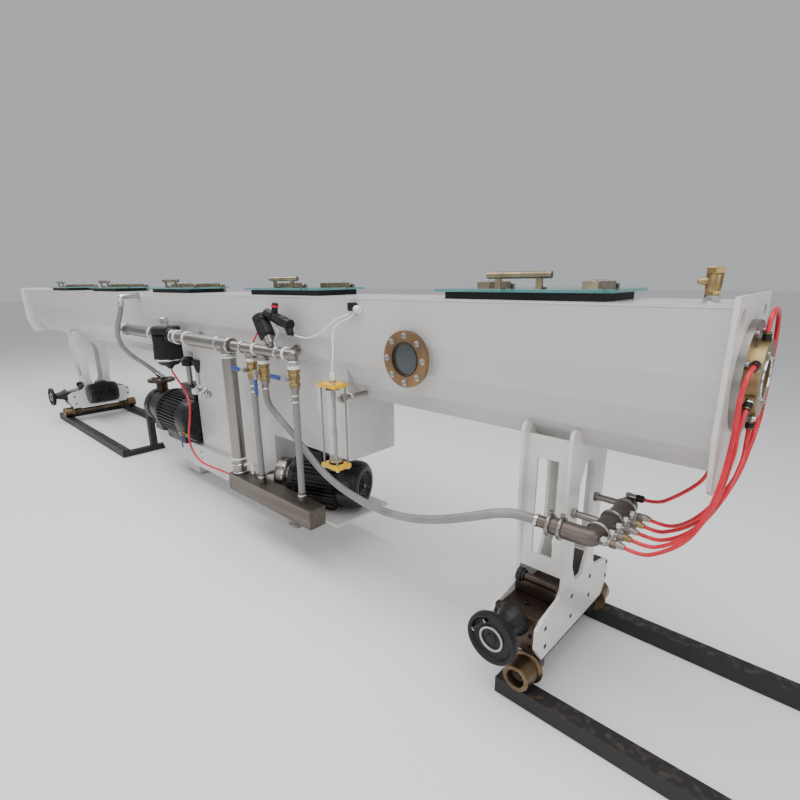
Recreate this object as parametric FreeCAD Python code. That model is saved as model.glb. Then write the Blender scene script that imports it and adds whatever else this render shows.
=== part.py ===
import FreeCAD, Part
import math
import os

# Vacuum sizing and spray-cooling tank of a plastic pipe extrusion line.
# Millimetres. X runs along the pipe, from the outlet end (-X) to the inlet end (+X).
# Y crosses the machine, with the operator's side at -Y. Z is up from the floor.
# The build frame has X = 0 at the inlet end plate's outer face and Y = 0 on the pipe's
# centre line. The last section moves everything so that the machine's footprint is
# centred on the origin.

V = FreeCAD.Vector
os.makedirs("parts", exist_ok=True)

# ---- driving dimensions -------------------------------------------------------------
tank_length = 6000.0        # outer face to outer face of the end plates
tank_half_width = 149.0
deck_height = 1107.5        # top of the tank above the floor
pipe_height = 947.0         # centre of the plastic pipe above the floor
shell_wall = 6.0
end_plate_thick = 10.0
lid_count = 5
lid_pitch = 1094.0
first_lid_from_inlet = 527.0
lid_opening_long = 440.0
lid_opening_wide = 160.0
gasket_rim = 20.0
gasket_thick = 20.0
glass_long = 531.0
glass_wide = 240.0
glass_thick = 8.0
window_from_inlet = 862.0
window_height = 922.0
window_bore_r = 50.0
leg_plate_thick = 10.0
leg_gap = 130.0             # clear width between a leg's two plates
inlet_leg_from_inlet = 320.0
outlet_leg_from_inlet = 4700.0
rail_length = 1560.0
rail_size = 50.0
rail_gauge = 511.0          # rail centre to rail centre
inlet_rail_back = 102.0     # rail beyond the inlet leg's front plate, towards the outlet
vacuum_pump_from_inlet = 3105.0
post_clear_of_pump = 295.0  # outlet rails' near end to the vacuum pump's head
wheel_tread_r = 40.0
wheel_flange_r = 50.0
axle_r = 16.0
running_gap = 0.3
contact_gap = 0.3
service_plane = -235.0      # Y of the water pipework on the operator's side

nodes = {}


# ---- small makers -------------------------------------------------------------------
def box(x0, x1, y0, y1, z0, z1):
    return Part.makeBox(x1 - x0, y1 - y0, z1 - z0, V(x0, y0, z0))


def rod(start, end, radius):
    line = V(*end) - V(*start)
    return Part.makeCylinder(radius, line.Length, V(*start), line)


def cone(start, end, r0, r1):
    line = V(*end) - V(*start)
    return Part.makeCone(r0, r1, line.Length, V(*start), line)


def ring(start, end, r_out, r_in):
    return rod(start, end, r_out).cut(rod(start, end, r_in))


def prism_x(outline, x0, x1):
    """A closed outline of (y, z) points, extruded from x0 to x1."""
    points = [V(x0, y, z) for y, z in outline]
    face = Part.Face(Part.makePolygon(points + points[:1]))
    return face.extrude(V(x1 - x0, 0, 0))


def mirrored(half):
    """A half outline on +Y, from the top down, closed by its mirror image."""
    return half + [(-y, z) for y, z in reversed(half)]


def fuse(shapes):
    body = shapes[0]
    if len(shapes) > 1:
        body = body.multiFuse(shapes[1:])
    return body.removeSplitter()


def add(name, *shapes):
    """One node: one solid, or several that do not touch."""
    nodes[name] = Part.makeCompound(list(shapes)) if len(shapes) > 1 else shapes[0]


# ---- floor rails --------------------------------------------------------------------
# Two welded frames of square bar lie on the floor, one under each leg.
crossbar_height = 34.0
crossbar_width = 45.0
rail_top = rail_size
rail_out = rail_gauge / 2 + rail_size / 2
rail_in = rail_gauge / 2 - rail_size / 2


def floor_rails(x0):
    x1 = x0 + rail_length
    pieces = []
    for side in (-1, 1):
        y0, y1 = sorted((side * rail_in, side * rail_out))
        pieces.append(box(x0, x1, y0, y1, 0, rail_size))
    for x in (x0, x1 - crossbar_width):
        pieces.append(box(x, x + crossbar_width, -rail_in, rail_in, 0, crossbar_height))
    return fuse(pieces)


leg_depth = leg_gap + 2 * leg_plate_thick
inlet_rail_start = -inlet_leg_from_inlet - inlet_rail_back
outlet_rail_start = -vacuum_pump_from_inlet - post_clear_of_pump - rail_length
post_height = 350.0
outlet_post = box(outlet_rail_start + rail_length - crossbar_width,
                  outlet_rail_start + rail_length, -80, -40, crossbar_height, post_height)
add("floor_rails", floor_rails(inlet_rail_start),
    fuse([floor_rails(outlet_rail_start), outlet_post]))

# ---- tank shell ---------------------------------------------------------------------
# A folded sheet trough, closed on top by a flat deck with five openings.
fold_high = (tank_half_width, 960.0)
fold_mid = (tank_half_width - 15.0, 872.0)
fold_low = (tank_half_width - 52.0, 790.0)
fold_bottom = (tank_half_width - 104.5, 726.0)
half_section = [(tank_half_width, deck_height), fold_high, fold_mid, fold_low, fold_bottom]
tank_x0 = -tank_length + end_plate_thick
tank_x1 = -end_plate_thick


def section_solid(inset, x0, x1):
    outline = mirrored(half_section)
    points = [V(x0, y, z) for y, z in outline]
    face = Part.Face(Part.makePolygon(points + points[:1]))
    if inset:
        face = face.makeOffset2D(-inset)
    return face.extrude(V(x1 - x0, 0, 0))


deck_underside = deck_height - shell_wall
tank_outside = section_solid(0, tank_x0, tank_x1)
tank_inside = section_solid(shell_wall, tank_x0, tank_x1)
deck_zone = box(tank_x0, tank_x1, -tank_half_width, tank_half_width, deck_underside, deck_height)
window_centre_x = -window_from_inlet
window_hole = rod((window_centre_x, -tank_half_width - 60, window_height),
                  (window_centre_x, 0, window_height), window_bore_r)
trough = tank_outside.cut(tank_inside).cut(deck_zone).cut(window_hole)
window_stub_r = 75.0
window_stub_face = -tank_half_width - 16.0
stub = rod((window_centre_x, window_stub_face, window_height),
           (window_centre_x, -tank_half_width + 40, window_height), window_stub_r)
add("tank_trough", fuse([trough, stub.cut(tank_outside).cut(window_hole)]))

lid_centres = [-first_lid_from_inlet - lid_pitch * i for i in range(lid_count)]
deck = deck_zone
for x in lid_centres:
    deck = deck.cut(box(x - lid_opening_long / 2, x + lid_opening_long / 2,
                        -lid_opening_wide / 2, lid_opening_wide / 2,
                        deck_underside - 1, deck_height + 1))
add("tank_deck", deck)

# ---- end plates ---------------------------------------------------------------------
plate_half_width = tank_half_width + 28.0
plate_top = deck_height + 18.5
plate_half = [(plate_half_width, plate_top), (plate_half_width, 841.0),
              (plate_half_width - 37.0, 712.0), (plate_half_width - 55.0, 697.0)]
pipe_port_r = 100.0
lifting_hole_r = 21.5
lifting_hole_y = 126.0
lifting_hole_z = plate_top - 46.0


def end_plate(x0):
    plate = prism_x(mirrored(plate_half), x0, x0 + end_plate_thick)
    plate = plate.cut(rod((x0 - 1, 0, pipe_height), (x0 + end_plate_thick + 1, 0, pipe_height),
                          pipe_port_r))
    for side in (-1, 1):
        plate = plate.cut(rod((x0 - 1, side * lifting_hole_y, lifting_hole_z),
                              (x0 + end_plate_thick + 1, side * lifting_hole_y, lifting_hole_z),
                              lifting_hole_r))
    return plate


add("inlet_end_plate", end_plate(-end_plate_thick))
add("outlet_end_plate", end_plate(-tank_length))

# ---- calibrator and seals -----------------------------------------------------------
adapter_r = 126.0
adapter_thick = 15.0
calibrator_r = 86.0
calibrator_bore_r = 45.0
calibrator_long = 25.0
push_fitting_r = 8.0
push_fitting_collar = 12.0
seal_thick = 10.0

# Five water tubes run from the calibrator's ring to the hose manifold's branches,
# and a sixth from the manifold's far end to the underside of the tank.
red_tube_r = 5.0
ring_routes = [
    [(30, -107, 986), (29, -134, 980), (26, -152, 958), (22, -150, 920), (24, -150, 871),
     (23, -151, 824), (21, -155, 778), (17, -162, 734), (10, -170, 691), (-3, -176, 641),
     (-27, -179, 593), (-67, -181, 554), (-110, -180, 527), (-150, -180, 535)],
    [(30, -102, 895), (29, -118, 876), (26, -130, 846), (28, -135, 810), (24, -138, 773),
     (20, -143, 731), (12, -146, 687), (-5, -148, 634), (-32, -144, 589), (-74, -136, 549),
     (-110, -132, 529), (-150, -132, 535)],
    [(30, -16, 834), (30, -18, 804), (33, -32, 777), (33, -72, 750), (29, -112, 721),
     (16, -130, 683), (-2, -131, 641), (-30, -118, 593), (-73, -94, 549), (-110, -84, 529),
     (-150, -84, 535)],
    [(30, 73, 860), (29, 84, 834), (29, 80, 804), (29, 58, 770), (30, 4, 745), (29, -58, 724),
     (21, -106, 698), (5, -122, 665), (-19, -112, 623), (-51, -84, 584), (-82, -56, 554),
     (-115, -38, 530), (-150, -36, 535)],
    [(30, -10, 1046), (30, -8, 1071), (31, 10, 1089), (31, 40, 1096), (32, 72, 1088),
     (32, 97, 1062), (32, 112, 1022), (32, 117, 970), (32, 118, 915), (32, 116, 862),
     (31, 106, 812), (27, 72, 759), (25, 14, 731), (22, -42, 711), (13, -80, 690),
     (-5, -90, 655), (-29, -70, 615), (-58, -36, 575), (-88, -6, 545), (-116, 11, 531),
     (-150, 12, 535)]]
ring_names = ["red_hose_1", "red_hose_2", "red_hose_3", "red_hose_4", "red_hose_5"]


def cord_tube(name, points, radius):
    """A free hose: straight runs between its points, joined by arcs as large as they allow."""
    corners = [V(*p) for p in points]
    edges = []
    start = corners[0]
    radii = []
    for before, here, after in zip(corners, corners[1:], corners[2:]):
        back = (before - here).normalize()
        ahead = (after - here).normalize()
        half_turn = (math.pi - back.getAngle(ahead)) / 2
        trim = 0.45 * min((here - before).Length, (after - here).Length)
        bend = trim / math.tan(half_turn)
        radii.append(round(bend))
        arc_in = here + back * trim
        arc_out = here + ahead * trim
        bisector = (back + ahead).normalize()
        middle = here + bisector * (bend / math.cos(half_turn) - bend)
        edges.append(Part.LineSegment(start, arc_in).toShape())
        edges.append(Part.Arc(arc_in, middle, arc_out).toShape())
        start = arc_out
    edges.append(Part.LineSegment(start, corners[-1]).toShape())
    path = Part.Wire(edges)
    circle = Part.Wire(Part.makeCircle(radius, corners[0], corners[1] - corners[0]))
    tube = path.makePipeShell([circle], True, False)
    expected = math.pi * radius * radius * path.Length
    print(name, "length", round(path.Length), "radii", radii,
          "volume ratio", round(tube.Volume / expected, 4))
    add(name, tube)


def collar(end, neighbour, radius, length):
    """A short round socket that a hose ends in, face to face with it."""
    away = (V(*end) - V(*neighbour)).normalize()
    return Part.makeCylinder(radius, length, V(*end), away)


ring_parts = [rod((adapter_thick, 0, pipe_height), (adapter_thick + calibrator_long, 0, pipe_height),
                  calibrator_r)]
for route in ring_routes:
    x, y, z = route[0]
    reach = math.hypot(y, z - pipe_height)
    shrink = (calibrator_r - 6.0) / reach
    root = (x, y * shrink, pipe_height + (z - pipe_height) * shrink)
    socket = collar(route[0], route[1], push_fitting_r, push_fitting_collar)
    inner = V(*route[0]) + (V(*route[0]) - V(*route[1])).normalize() * (push_fitting_collar / 2)
    ring_parts += [socket, rod(root, tuple(inner), push_fitting_r - 2)]
calibrator = fuse(ring_parts).cut(rod((adapter_thick - 1, 0, pipe_height),
                                      (adapter_thick + calibrator_long + 1, 0, pipe_height),
                                      calibrator_bore_r))
add("inlet_adapter_ring", ring((0, 0, pipe_height), (adapter_thick, 0, pipe_height),
                               adapter_r, calibrator_bore_r + 6.0))
add("calibrator_ring", calibrator)
add("outlet_seal_disc", ring((tank_x0, 0, pipe_height), (tank_x0 + seal_thick, 0, pipe_height),
                             pipe_port_r + 20.0, calibrator_bore_r))
for name, route in zip(ring_names, ring_routes):
    cord_tube(name, route, red_tube_r)

# ---- sight window -------------------------------------------------------------------
window_ring_r = 90.0
window_ring_thick = 16.0
window_glass_r = 60.0
window_outer_face = window_stub_face - window_ring_thick
clamp = rod((window_centre_x, window_outer_face, window_height),
            (window_centre_x, window_stub_face, window_height), window_ring_r)
clamp = clamp.cut(rod((window_centre_x, window_outer_face - 1, window_height),
                      (window_centre_x, 0, window_height), window_bore_r))
clamp = clamp.cut(rod((window_centre_x, window_stub_face - glass_thick, window_height),
                      (window_centre_x, window_stub_face + 1, window_height),
                      window_glass_r + contact_gap))
add("window_ring", clamp)
add("window_glass", rod((window_centre_x, window_stub_face - glass_thick, window_height),
                        (window_centre_x, window_stub_face, window_height), window_glass_r))

# ---- fittings on the tank -----------------------------------------------------------
# A brass relief valve on the deck, a bend in the side for the vacuum hose, and a nipple
# under the tank for the sixth red tube.
relief_x = -78.0
relief_y = -40.0
relief_foot = 12.0
relief_body = 55.0
relief_cap = 76.0
relief_valve = fuse([
    rod((relief_x, relief_y, deck_height), (relief_x, relief_y, deck_height + relief_foot), 17),
    rod((relief_x, relief_y, deck_height + relief_foot),
        (relief_x, relief_y, deck_height + relief_body), 13),
    rod((relief_x, relief_y, deck_height + relief_body),
        (relief_x, relief_y, deck_height + relief_cap), 16.5)])
clear_hose_r = 14.0
vacuum_route = [(-3052, -255, 1045), (-3054, -268, 985), (-3084, -286, 914), (-3112, -284, 838),
                (-3112, -258, 770), (-3088, -208, 712), (-3062, -160, 668), (-3044, -112, 614)]
bend_x, bend_y, bend_z = vacuum_route[0]
bend_r = 15.0
bend_radius = 34.0
bend_high = bend_z + bend_radius + 8.0
bend_path = Part.Wire([
    Part.LineSegment(V(bend_x, -tank_half_width, bend_high),
                     V(bend_x, bend_y + bend_radius, bend_high)).toShape(),
    Part.Arc(V(bend_x, bend_y + bend_radius, bend_high),
             V(bend_x, bend_y + bend_radius * (1 - math.sin(math.pi / 4)),
               bend_high - bend_radius * (1 - math.cos(math.pi / 4))),
             V(bend_x, bend_y, bend_high - bend_radius)).toShape()])
bend_start = Part.Wire(Part.makeCircle(bend_r, V(bend_x, -tank_half_width, bend_high), V(0, 1, 0)))
vacuum_bend = fuse([bend_path.makePipeShell([bend_start], True, False),
                    collar(vacuum_route[0], vacuum_route[1], bend_r, 16.0)])
far_route = [(-185, 62, 566), (-150, 62, 565), (-110, 62, 598), (-76, 60, 633), (-49, 50, 670),
             (-38, 28, 704)]
nipple = fuse([collar(far_route[-1], far_route[-2], push_fitting_r, push_fitting_collar),
               rod((-36, 22, 712), (-36, 22, fold_bottom[1]), push_fitting_r - 1)])
add("tank_fittings", relief_valve, vacuum_bend, nipple)
cord_tube("red_hose_6", far_route, red_tube_r)
cord_tube("clear_vacuum_hose", vacuum_route, clear_hose_r)

# ---- lids ---------------------------------------------------------------------------
# Rubber frames on the deck carry glass lids, hinged at the far edge.
gasket_top = deck_height + gasket_thick
gaskets = []
for x in lid_centres:
    outer = box(x - lid_opening_long / 2 - gasket_rim, x + lid_opening_long / 2 + gasket_rim,
                -lid_opening_wide / 2 - gasket_rim, lid_opening_wide / 2 + gasket_rim,
                deck_height, gasket_top)
    inner = box(x - lid_opening_long / 2, x + lid_opening_long / 2,
                -lid_opening_wide / 2, lid_opening_wide / 2, deck_height - 1, gasket_top + 1)
    gaskets.append(outer.cut(inner))
add("lid_gaskets", *gaskets)

glass_z0 = gasket_top + contact_gap
glass_z1 = glass_z0 + glass_thick
handle_y = -90.0
handle_half = 94.0
handle_r = 9.5
handle_top = glass_z1 + 46.0
hinge_block_x = 164.0
hinge_block_half_long = 21.5
hinge_y0 = -10.0
hinge_y1 = 112.0
hinge_block_thick = 18.0
hinge_axis_y = glass_wide / 2 + 14.0
hinge_axis_z = glass_z1 + 4.0
hinge_pin_r = 5.0
hinge_eye_r = 9.0


def lid_fittings(x):
    """Handle bar on two bent brackets, and two hinge blocks with their eyes."""
    bar_z = handle_top - handle_r
    pieces = [rod((x - handle_half, handle_y, bar_z), (x + handle_half, handle_y, bar_z), handle_r)]
    handle = fuse(pieces + [
        box(x + side * 62 - 9, x + side * 62 + 9, handle_y - 3, handle_y + 3, glass_z1, bar_z)
        for side in (-1, 1)] + [
        box(x + side * 62 - 9, x + side * 62 + 9, handle_y - 3, handle_y + 26,
            glass_z1, glass_z1 + 5) for side in (-1, 1)])
    hinges = []
    for side in (-1, 1):
        cx = x + side * hinge_block_x
        block = box(cx - hinge_block_half_long, cx + hinge_block_half_long, hinge_y0, hinge_y1,
                    glass_z1, glass_z1 + hinge_block_thick)
        leaf = box(cx - 12, cx + 12, hinge_y1 - 5, hinge_axis_y, hinge_axis_z - 4, hinge_axis_z + 4)
        eye = rod((cx - 12, hinge_axis_y, hinge_axis_z), (cx + 12, hinge_axis_y, hinge_axis_z),
                  hinge_eye_r)
        hole = rod((cx - 13, hinge_axis_y, hinge_axis_z), (cx + 13, hinge_axis_y, hinge_axis_z),
                   hinge_pin_r + running_gap)
        hinges.append(fuse([block, leaf, eye]).cut(hole))
    return [handle] + hinges


brackets = []
for number, x in enumerate(lid_centres, start=1):
    add("lid_glass_%d" % number,
        box(x - glass_long / 2, x + glass_long / 2, -glass_wide / 2, glass_wide / 2,
            glass_z0, glass_z1))
    add("lid_fittings_%d" % number, *lid_fittings(x))
    for side in (-1, 1):
        cx = x + side * hinge_block_x
        ears = [box(cx + e * 18 - 3.5, cx + e * 18 + 3.5, hinge_axis_y - 7, hinge_axis_y + 7,
                    deck_height, hinge_axis_z + 7) for e in (-1, 1)]
        pin = rod((cx - 22, hinge_axis_y, hinge_axis_z), (cx + 22, hinge_axis_y, hinge_axis_z),
                  hinge_pin_r)
        foot = box(cx - 24, cx + 24, hinge_axis_y - 9, hinge_axis_y + 9,
                   deck_height, deck_height + 6)
        brackets.append(fuse(ears + [pin, foot]))
add("lid_hinge_brackets", *brackets)

# ---- legs ---------------------------------------------------------------------------
# Each leg is two cut plates, tied by webs, standing on a lift block with one axle.
toe_half = 247.0
toe_top = 256.0
leg_bottom = 122.0
column_half = 126.0
block_half = 238.0
block_bottom = 150.0
block_top = 250.0
axle_height = rail_top + wheel_tread_r
axle_from_front = 35.0
leg_half = [fold_bottom, (86.0, 776.5), (110.0, 779.0), (column_half - 4, 772.0),
            (column_half, 760.0), (column_half - 4, 520.0), (104.0, 350.0), (108.0, 300.0),
            (128.0, 275.0), (222.0, toe_top), (toe_half, 238.0), (toe_half, 178.0),
            (208.0, leg_bottom)]
slot_half = 52.0
slot_low = 290.0
slot_high = 668.0
web_y = 100.0
web_thick = 8.0
web_low = 330.0
web_high = 745.0
web_slot_half = 32.0
web_slot_low = 380.0
web_slot_high = 680.0
bearing_in = 160.0
bearing_out = 200.0
bearing_half = 25.0
bearing_drop = 24.0         # bearing below the axle's centre
tie_bar_y = -115.0
tie_bar_z = 300.0
tie_bar_r = 12.0
screw_x_from_front = 80.0
wheel_axis_z = 235.0
neck_long = 80.0
neck_root_r = 52.0
neck_tip_r = 26.0
stem_long = 14.0
stem_r = 9.0
handwheel_r = 75.0
handwheel_thick = 28.0
handwheel_gap = 10.0        # hub face to rim
recess_r = 60.0
recess_deep = 8.0
hub_r = 28.0
grip_r = 6.0                # folding grip, lying in the recess
grip_offset = 45.0
grip_half = 32.0
grip_proud = 2.0
wheel_beyond_rail = 10.0
axle_beyond_wheel = 2.0
flange_thick = 8.0


def leg_plate(x0):
    plate = prism_x(mirrored(leg_half), x0, x0 + leg_plate_thick)
    slot = prism_x(mirrored([(slot_half * 0.45, slot_high), (slot_half, slot_high - 60),
                             (slot_half, slot_low + 60), (slot_half * 0.45, slot_low)]),
                   x0 - 1, x0 + leg_plate_thick + 1)
    return plate.cut(slot)


def make_leg(prefix, front):
    """front is the outer face of the inlet-side plate."""
    inner1 = front - leg_plate_thick
    inner0 = inner1 - leg_gap
    middle = (inner0 + inner1) / 2
    pieces = [leg_plate(inner1), leg_plate(inner0 - leg_plate_thick)]
    for side in (-1, 1):
        y0, y1 = sorted((side * (web_y - web_thick / 2), side * (web_y + web_thick / 2)))
        web = box(inner0, inner1, y0, y1, web_low, web_high)
        web = web.cut(tank_outside)
        web = web.cut(box(middle - web_slot_half, middle + web_slot_half, y0 - 1, y1 + 1,
                          web_slot_low, web_slot_high))
        pieces.append(web)
    add(prefix + "_leg", fuse(pieces))
    axle_x = front - axle_from_front
    block = box(inner0, inner1, -block_half, block_half, block_bottom, block_top)
    bearings = []
    for side in (-1, 1):
        y0, y1 = sorted((side * bearing_in, side * bearing_out))
        bearings.append(box(axle_x - bearing_half, axle_x + bearing_half, y0, y1,
                            axle_height - bearing_drop, block_bottom))
    tie_bar = rod((inner0, tie_bar_y, tie_bar_z), (inner1, tie_bar_y, tie_bar_z), tie_bar_r)
    saddle = box(inner0, inner1, tie_bar_y - tie_bar_r, tie_bar_y + tie_bar_r, block_top,
                 tie_bar_z)
    lift = fuse([block] + bearings + [tie_bar, saddle])
    lift = lift.cut(rod((axle_x, -rail_out, axle_height), (axle_x, rail_out, axle_height),
                        axle_r + running_gap))
    wheel_x = front - screw_x_from_front
    neck_end = -block_half - neck_long
    neck = cone((wheel_x, -block_half, wheel_axis_z), (wheel_x, neck_end, wheel_axis_z),
                neck_root_r, neck_tip_r)
    stem = rod((wheel_x, neck_end, wheel_axis_z), (wheel_x, neck_end - stem_long, wheel_axis_z),
               stem_r)
    neck = neck.common(box(inner0, inner1, neck_end, -block_half, 0, block_top))
    add(prefix + "_lift_block", fuse([lift, neck, stem]))
    hub_back = neck_end - 1.0
    rim_back = hub_back - handwheel_gap
    rim_front = rim_back - handwheel_thick
    recess = rim_front + recess_deep
    rim = rod((wheel_x, rim_back, wheel_axis_z), (wheel_x, rim_front, wheel_axis_z), handwheel_r)
    rim = rim.cut(rod((wheel_x, recess, wheel_axis_z), (wheel_x, rim_front - 1, wheel_axis_z),
                      recess_r))
    hub = rod((wheel_x, hub_back, wheel_axis_z), (wheel_x, rim_front, wheel_axis_z), hub_r)
    grip_x = wheel_x - grip_offset
    grip_y = rim_front - grip_proud + grip_r
    grip = rod((grip_x, grip_y, wheel_axis_z - grip_half),
               (grip_x, grip_y, wheel_axis_z + grip_half), grip_r)
    bore = rod((wheel_x, hub_back + 1, wheel_axis_z), (wheel_x, neck_end - stem_long - 7,
                                                       wheel_axis_z), stem_r + running_gap)
    add(prefix + "_handwheel", fuse([rim, hub, grip]).cut(bore))
    wheel_out = rail_out + wheel_beyond_rail
    axle_end = wheel_out + axle_beyond_wheel
    wheels = [rod((axle_x, -axle_end, axle_height), (axle_x, axle_end, axle_height), axle_r)]
    for side in (-1, 1):
        outer = side * wheel_out
        inner = side * (rail_in - 2)
        flange = side * (rail_in - 2 - flange_thick)
        wheels.append(rod((axle_x, outer, axle_height), (axle_x, inner, axle_height),
                          wheel_tread_r - contact_gap))
        wheels.append(rod((axle_x, inner, axle_height), (axle_x, flange, axle_height),
                          wheel_flange_r))
    add(prefix + "_wheelset", fuse(wheels))


make_leg("inlet", -inlet_leg_from_inlet)
make_leg("outlet", -outlet_leg_from_inlet)

# Travel motor on the outlet leg.
motor_r = 85.0
outlet_front = -outlet_leg_from_inlet
add("travel_motor", fuse([
    box(outlet_front, outlet_front + 60, -70, 70, 195, 275),
    rod((outlet_front + 105, -120, 245), (outlet_front + 105, 110, 245), motor_r)]))

# ---- base tray and water box --------------------------------------------------------
tray_x0 = -3086.0
tray_x1 = -1730.0
tray_half = 150.0
tray_z0 = 130.0
tray_z1 = 265.0
tray_nose = 115.0           # the tray's outlet end slopes in by this much at the bottom
tray_side = Part.Face(Part.makePolygon([
    V(tray_x0, -tray_half, tray_z1), V(tray_x0 + tray_nose, -tray_half, tray_z0),
    V(tray_x1, -tray_half, tray_z0), V(tray_x1, -tray_half, tray_z1),
    V(tray_x0, -tray_half, tray_z1)])).extrude(V(0, 2 * tray_half, 0))
shelf_z0 = 172.0
shelf_z1 = 184.0
shelf_long = 460.0
foot_clear = 12.0
pump_shelf = box(tray_x1, tray_x1 + shelf_long, -tray_half, tray_half, shelf_z0, shelf_z1)
tray_foot = box(tray_x0 + 206, tray_x0 + 386, -70, 70, foot_clear, tray_z0)
add("base_tray", fuse([tray_side, pump_shelf, tray_foot]))

cabinet_x0 = -2470.0
cabinet_x1 = -1200.0
cabinet_half = 125.0
cabinet_step = 480.0
cabinet_top = 850.0
cabinet = fuse([box(cabinet_x0, tray_x1, -cabinet_half, cabinet_half, tray_z1, cabinet_top),
                box(tray_x1, cabinet_x1, -cabinet_half, cabinet_half, cabinet_step, cabinet_top)])
add("water_box", cabinet.cut(tank_outside))

# ---- circulation pump ---------------------------------------------------------------
# Its shaft lies level, turned about 20 degrees from the tank's length.
pump_face = V(-1697.0, -121.0, 300.0)
pump_turn = math.radians(20.7)
pump_along = V(math.cos(pump_turn), math.sin(pump_turn), 0)
pump_head_r = 74.0
pump_head_long = 55.0
pump_neck_r = 58.0
pump_neck_long = 40.0
motor_flange_r = 104.0
motor_flange_long = 30.0
pump_motor_r = 111.0
pump_motor_long = 215.0
fan_cover_r = 103.0
fan_cover_long = 95.0


def pump_rod(start, length, radius):
    return Part.makeCylinder(radius, length, pump_face + pump_along * start, pump_along)


flange_at = pump_head_long + pump_neck_long
motor_at = flange_at + motor_flange_long
cover_at = motor_at + pump_motor_long
add("pump_head", fuse([pump_rod(0, pump_head_long, pump_head_r),
                       pump_rod(pump_head_long, pump_neck_long, pump_neck_r)]))
motor_foot = Part.makeBox(pump_motor_long - 60, 130, pump_face.z - shelf_z1,
                          V(motor_at + 30, -65, -pump_face.z + shelf_z1))
terminal_box = Part.makeBox(110, 100, 90, V(motor_at + 20, -50, 60))
motor_extras = [motor_foot, terminal_box]
for extra in motor_extras:
    extra.rotate(V(0, 0, 0), V(0, 0, 1), math.degrees(pump_turn))
    extra.translate(pump_face)
add("pump_motor", fuse([pump_rod(flange_at, motor_flange_long, motor_flange_r),
                        pump_rod(motor_at, pump_motor_long, pump_motor_r),
                        pump_rod(cover_at, fan_cover_long, fan_cover_r)] + motor_extras))

# ---- vacuum pump --------------------------------------------------------------------
vac_y = -95.0
vac_z = tray_z1 + 138.0
vac_head = (-vacuum_pump_from_inlet, -2905.0, 106.0)      # start, end, radius
vac_neck = (-2905.0, -2865.0, 80.0)
vac_motor = (-2865.0, -2475.0, 134.0)
riser_x = -2560.0
riser_y = -118.0
vac_pieces = [rod((x0, vac_y, vac_z), (x1, vac_y, vac_z), r)
              for x0, x1, r in (vac_head, vac_neck, vac_motor)]
vac_pieces += [box(x0, x1, vac_y - half, min(vac_y + half, tray_half), tray_z1, vac_z)
               for x0, x1, half in ((-3040, -2930, 70), (-2800, -2560, 95))]
port = vacuum_route[-1]
hose_tail = collar(port, vacuum_route[-2], clear_hose_r, 46.0)
vac_pieces += [
    hose_tail,
    rod((-3030, vac_y, vac_z), (-3030, vac_y, 575), 34),
    rod((-3030, vac_y, 560), (-3030, vac_y, 576), 82),
    box(-2650, -2490, vac_y - 45, vac_y + 45, vac_z, 606),
    rod((riser_x, riser_y, 600), (riser_x, riser_y, 715), 15),
    rod((riser_x, riser_y, 715), (riser_x, riser_y, 765), 36),
    rod((-2495, riser_y, 585), (-2310, riser_y, 585), 19),
    rod((-2375, riser_y - 38, 585), (-2375, riser_y + 30, 585), 33),
    rod((-2430, riser_y, 585), (-2430, riser_y, 690), 13),
    cone((-2430, riser_y, 690), (-2430, riser_y, 760), 16, 34)]
vacuum_pump = fuse(vac_pieces).cut(box(cabinet_x0 - 2, cabinet_x1, -cabinet_half - 2,
                                       cabinet_half, tray_z1, cabinet_top))
add("vacuum_pump", vacuum_pump.cut(tank_outside))

# ---- water pipework -----------------------------------------------------------------
main_x0 = -3090.0
main_x1 = -1840.0
main_z = 895.0
main_r = 31.0
drop_x = -1875.0
header_r = 22.0
valve_xs = (-1684.0, -1593.0, -1385.0)
valve_low = 772.0
valve_high = 845.0
valve_tail = 42.0
valve_z = (valve_low + valve_high) / 2
stand_off_xs = (-2300.0, -1480.0)
manifold_x0 = -1915.0
manifold_x1 = -1290.0
manifold_half = 40.0
manifold_z0 = 205.0
manifold_z1 = 287.0
manifold_tail = 43.0
pipework = fuse([
    rod((main_x0, service_plane, main_z), (main_x1, service_plane, main_z), main_r),
    rod((main_x1, service_plane, main_z), (valve_xs[2], service_plane, main_z), header_r),
    rod((drop_x, service_plane, manifold_z1), (drop_x, service_plane, main_z), main_r + 1)] + [
    rod((x, service_plane, valve_high), (x, service_plane, main_z), header_r - 2)
    for x in valve_xs] + [
    rod((x, service_plane, main_z), (x, -tank_half_width + 14, main_z), 12)
    for x in stand_off_xs])
add("main_pipe", pipework.cut(tank_outside))

# The strainer's drain tube falls to the manifold's outlet end.
drain_route = [(-2520, -235, 712), (-2518, -214, 666), (-2429, -216, 617), (-2323, -240, 562),
               (-2299, -262, 479), (-2332, -268, 381), (-2321, -264, 304), (-2259, -256, 255),
               (-2156, -248, 246), (-2030, -238, 250), (-1935, -235, 246)]
outlet_x = -1470.0
outlet_z = manifold_z0 - 50.0
straight_drops = (valve_xs[0], valve_xs[2])
manifold_pieces = [
    box(manifold_x0, manifold_x1, service_plane - manifold_half, service_plane + manifold_half,
        manifold_z0, manifold_z1),
    rod((outlet_x, service_plane + 10, outlet_z), (outlet_x, service_plane + 10, manifold_z0), 24),
    rod((outlet_x, service_plane + 10, outlet_z), (outlet_x, service_plane + 75, outlet_z), 24),
    collar(drain_route[-1], drain_route[-2], push_fitting_r, manifold_x0 - drain_route[-1][0] + 2)]
manifold_pieces += [rod((x, service_plane, manifold_z1),
                        (x, service_plane, manifold_z1 + manifold_tail), clear_hose_r + 3)
                    for x in straight_drops]
add("square_manifold", fuse(manifold_pieces))
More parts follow.
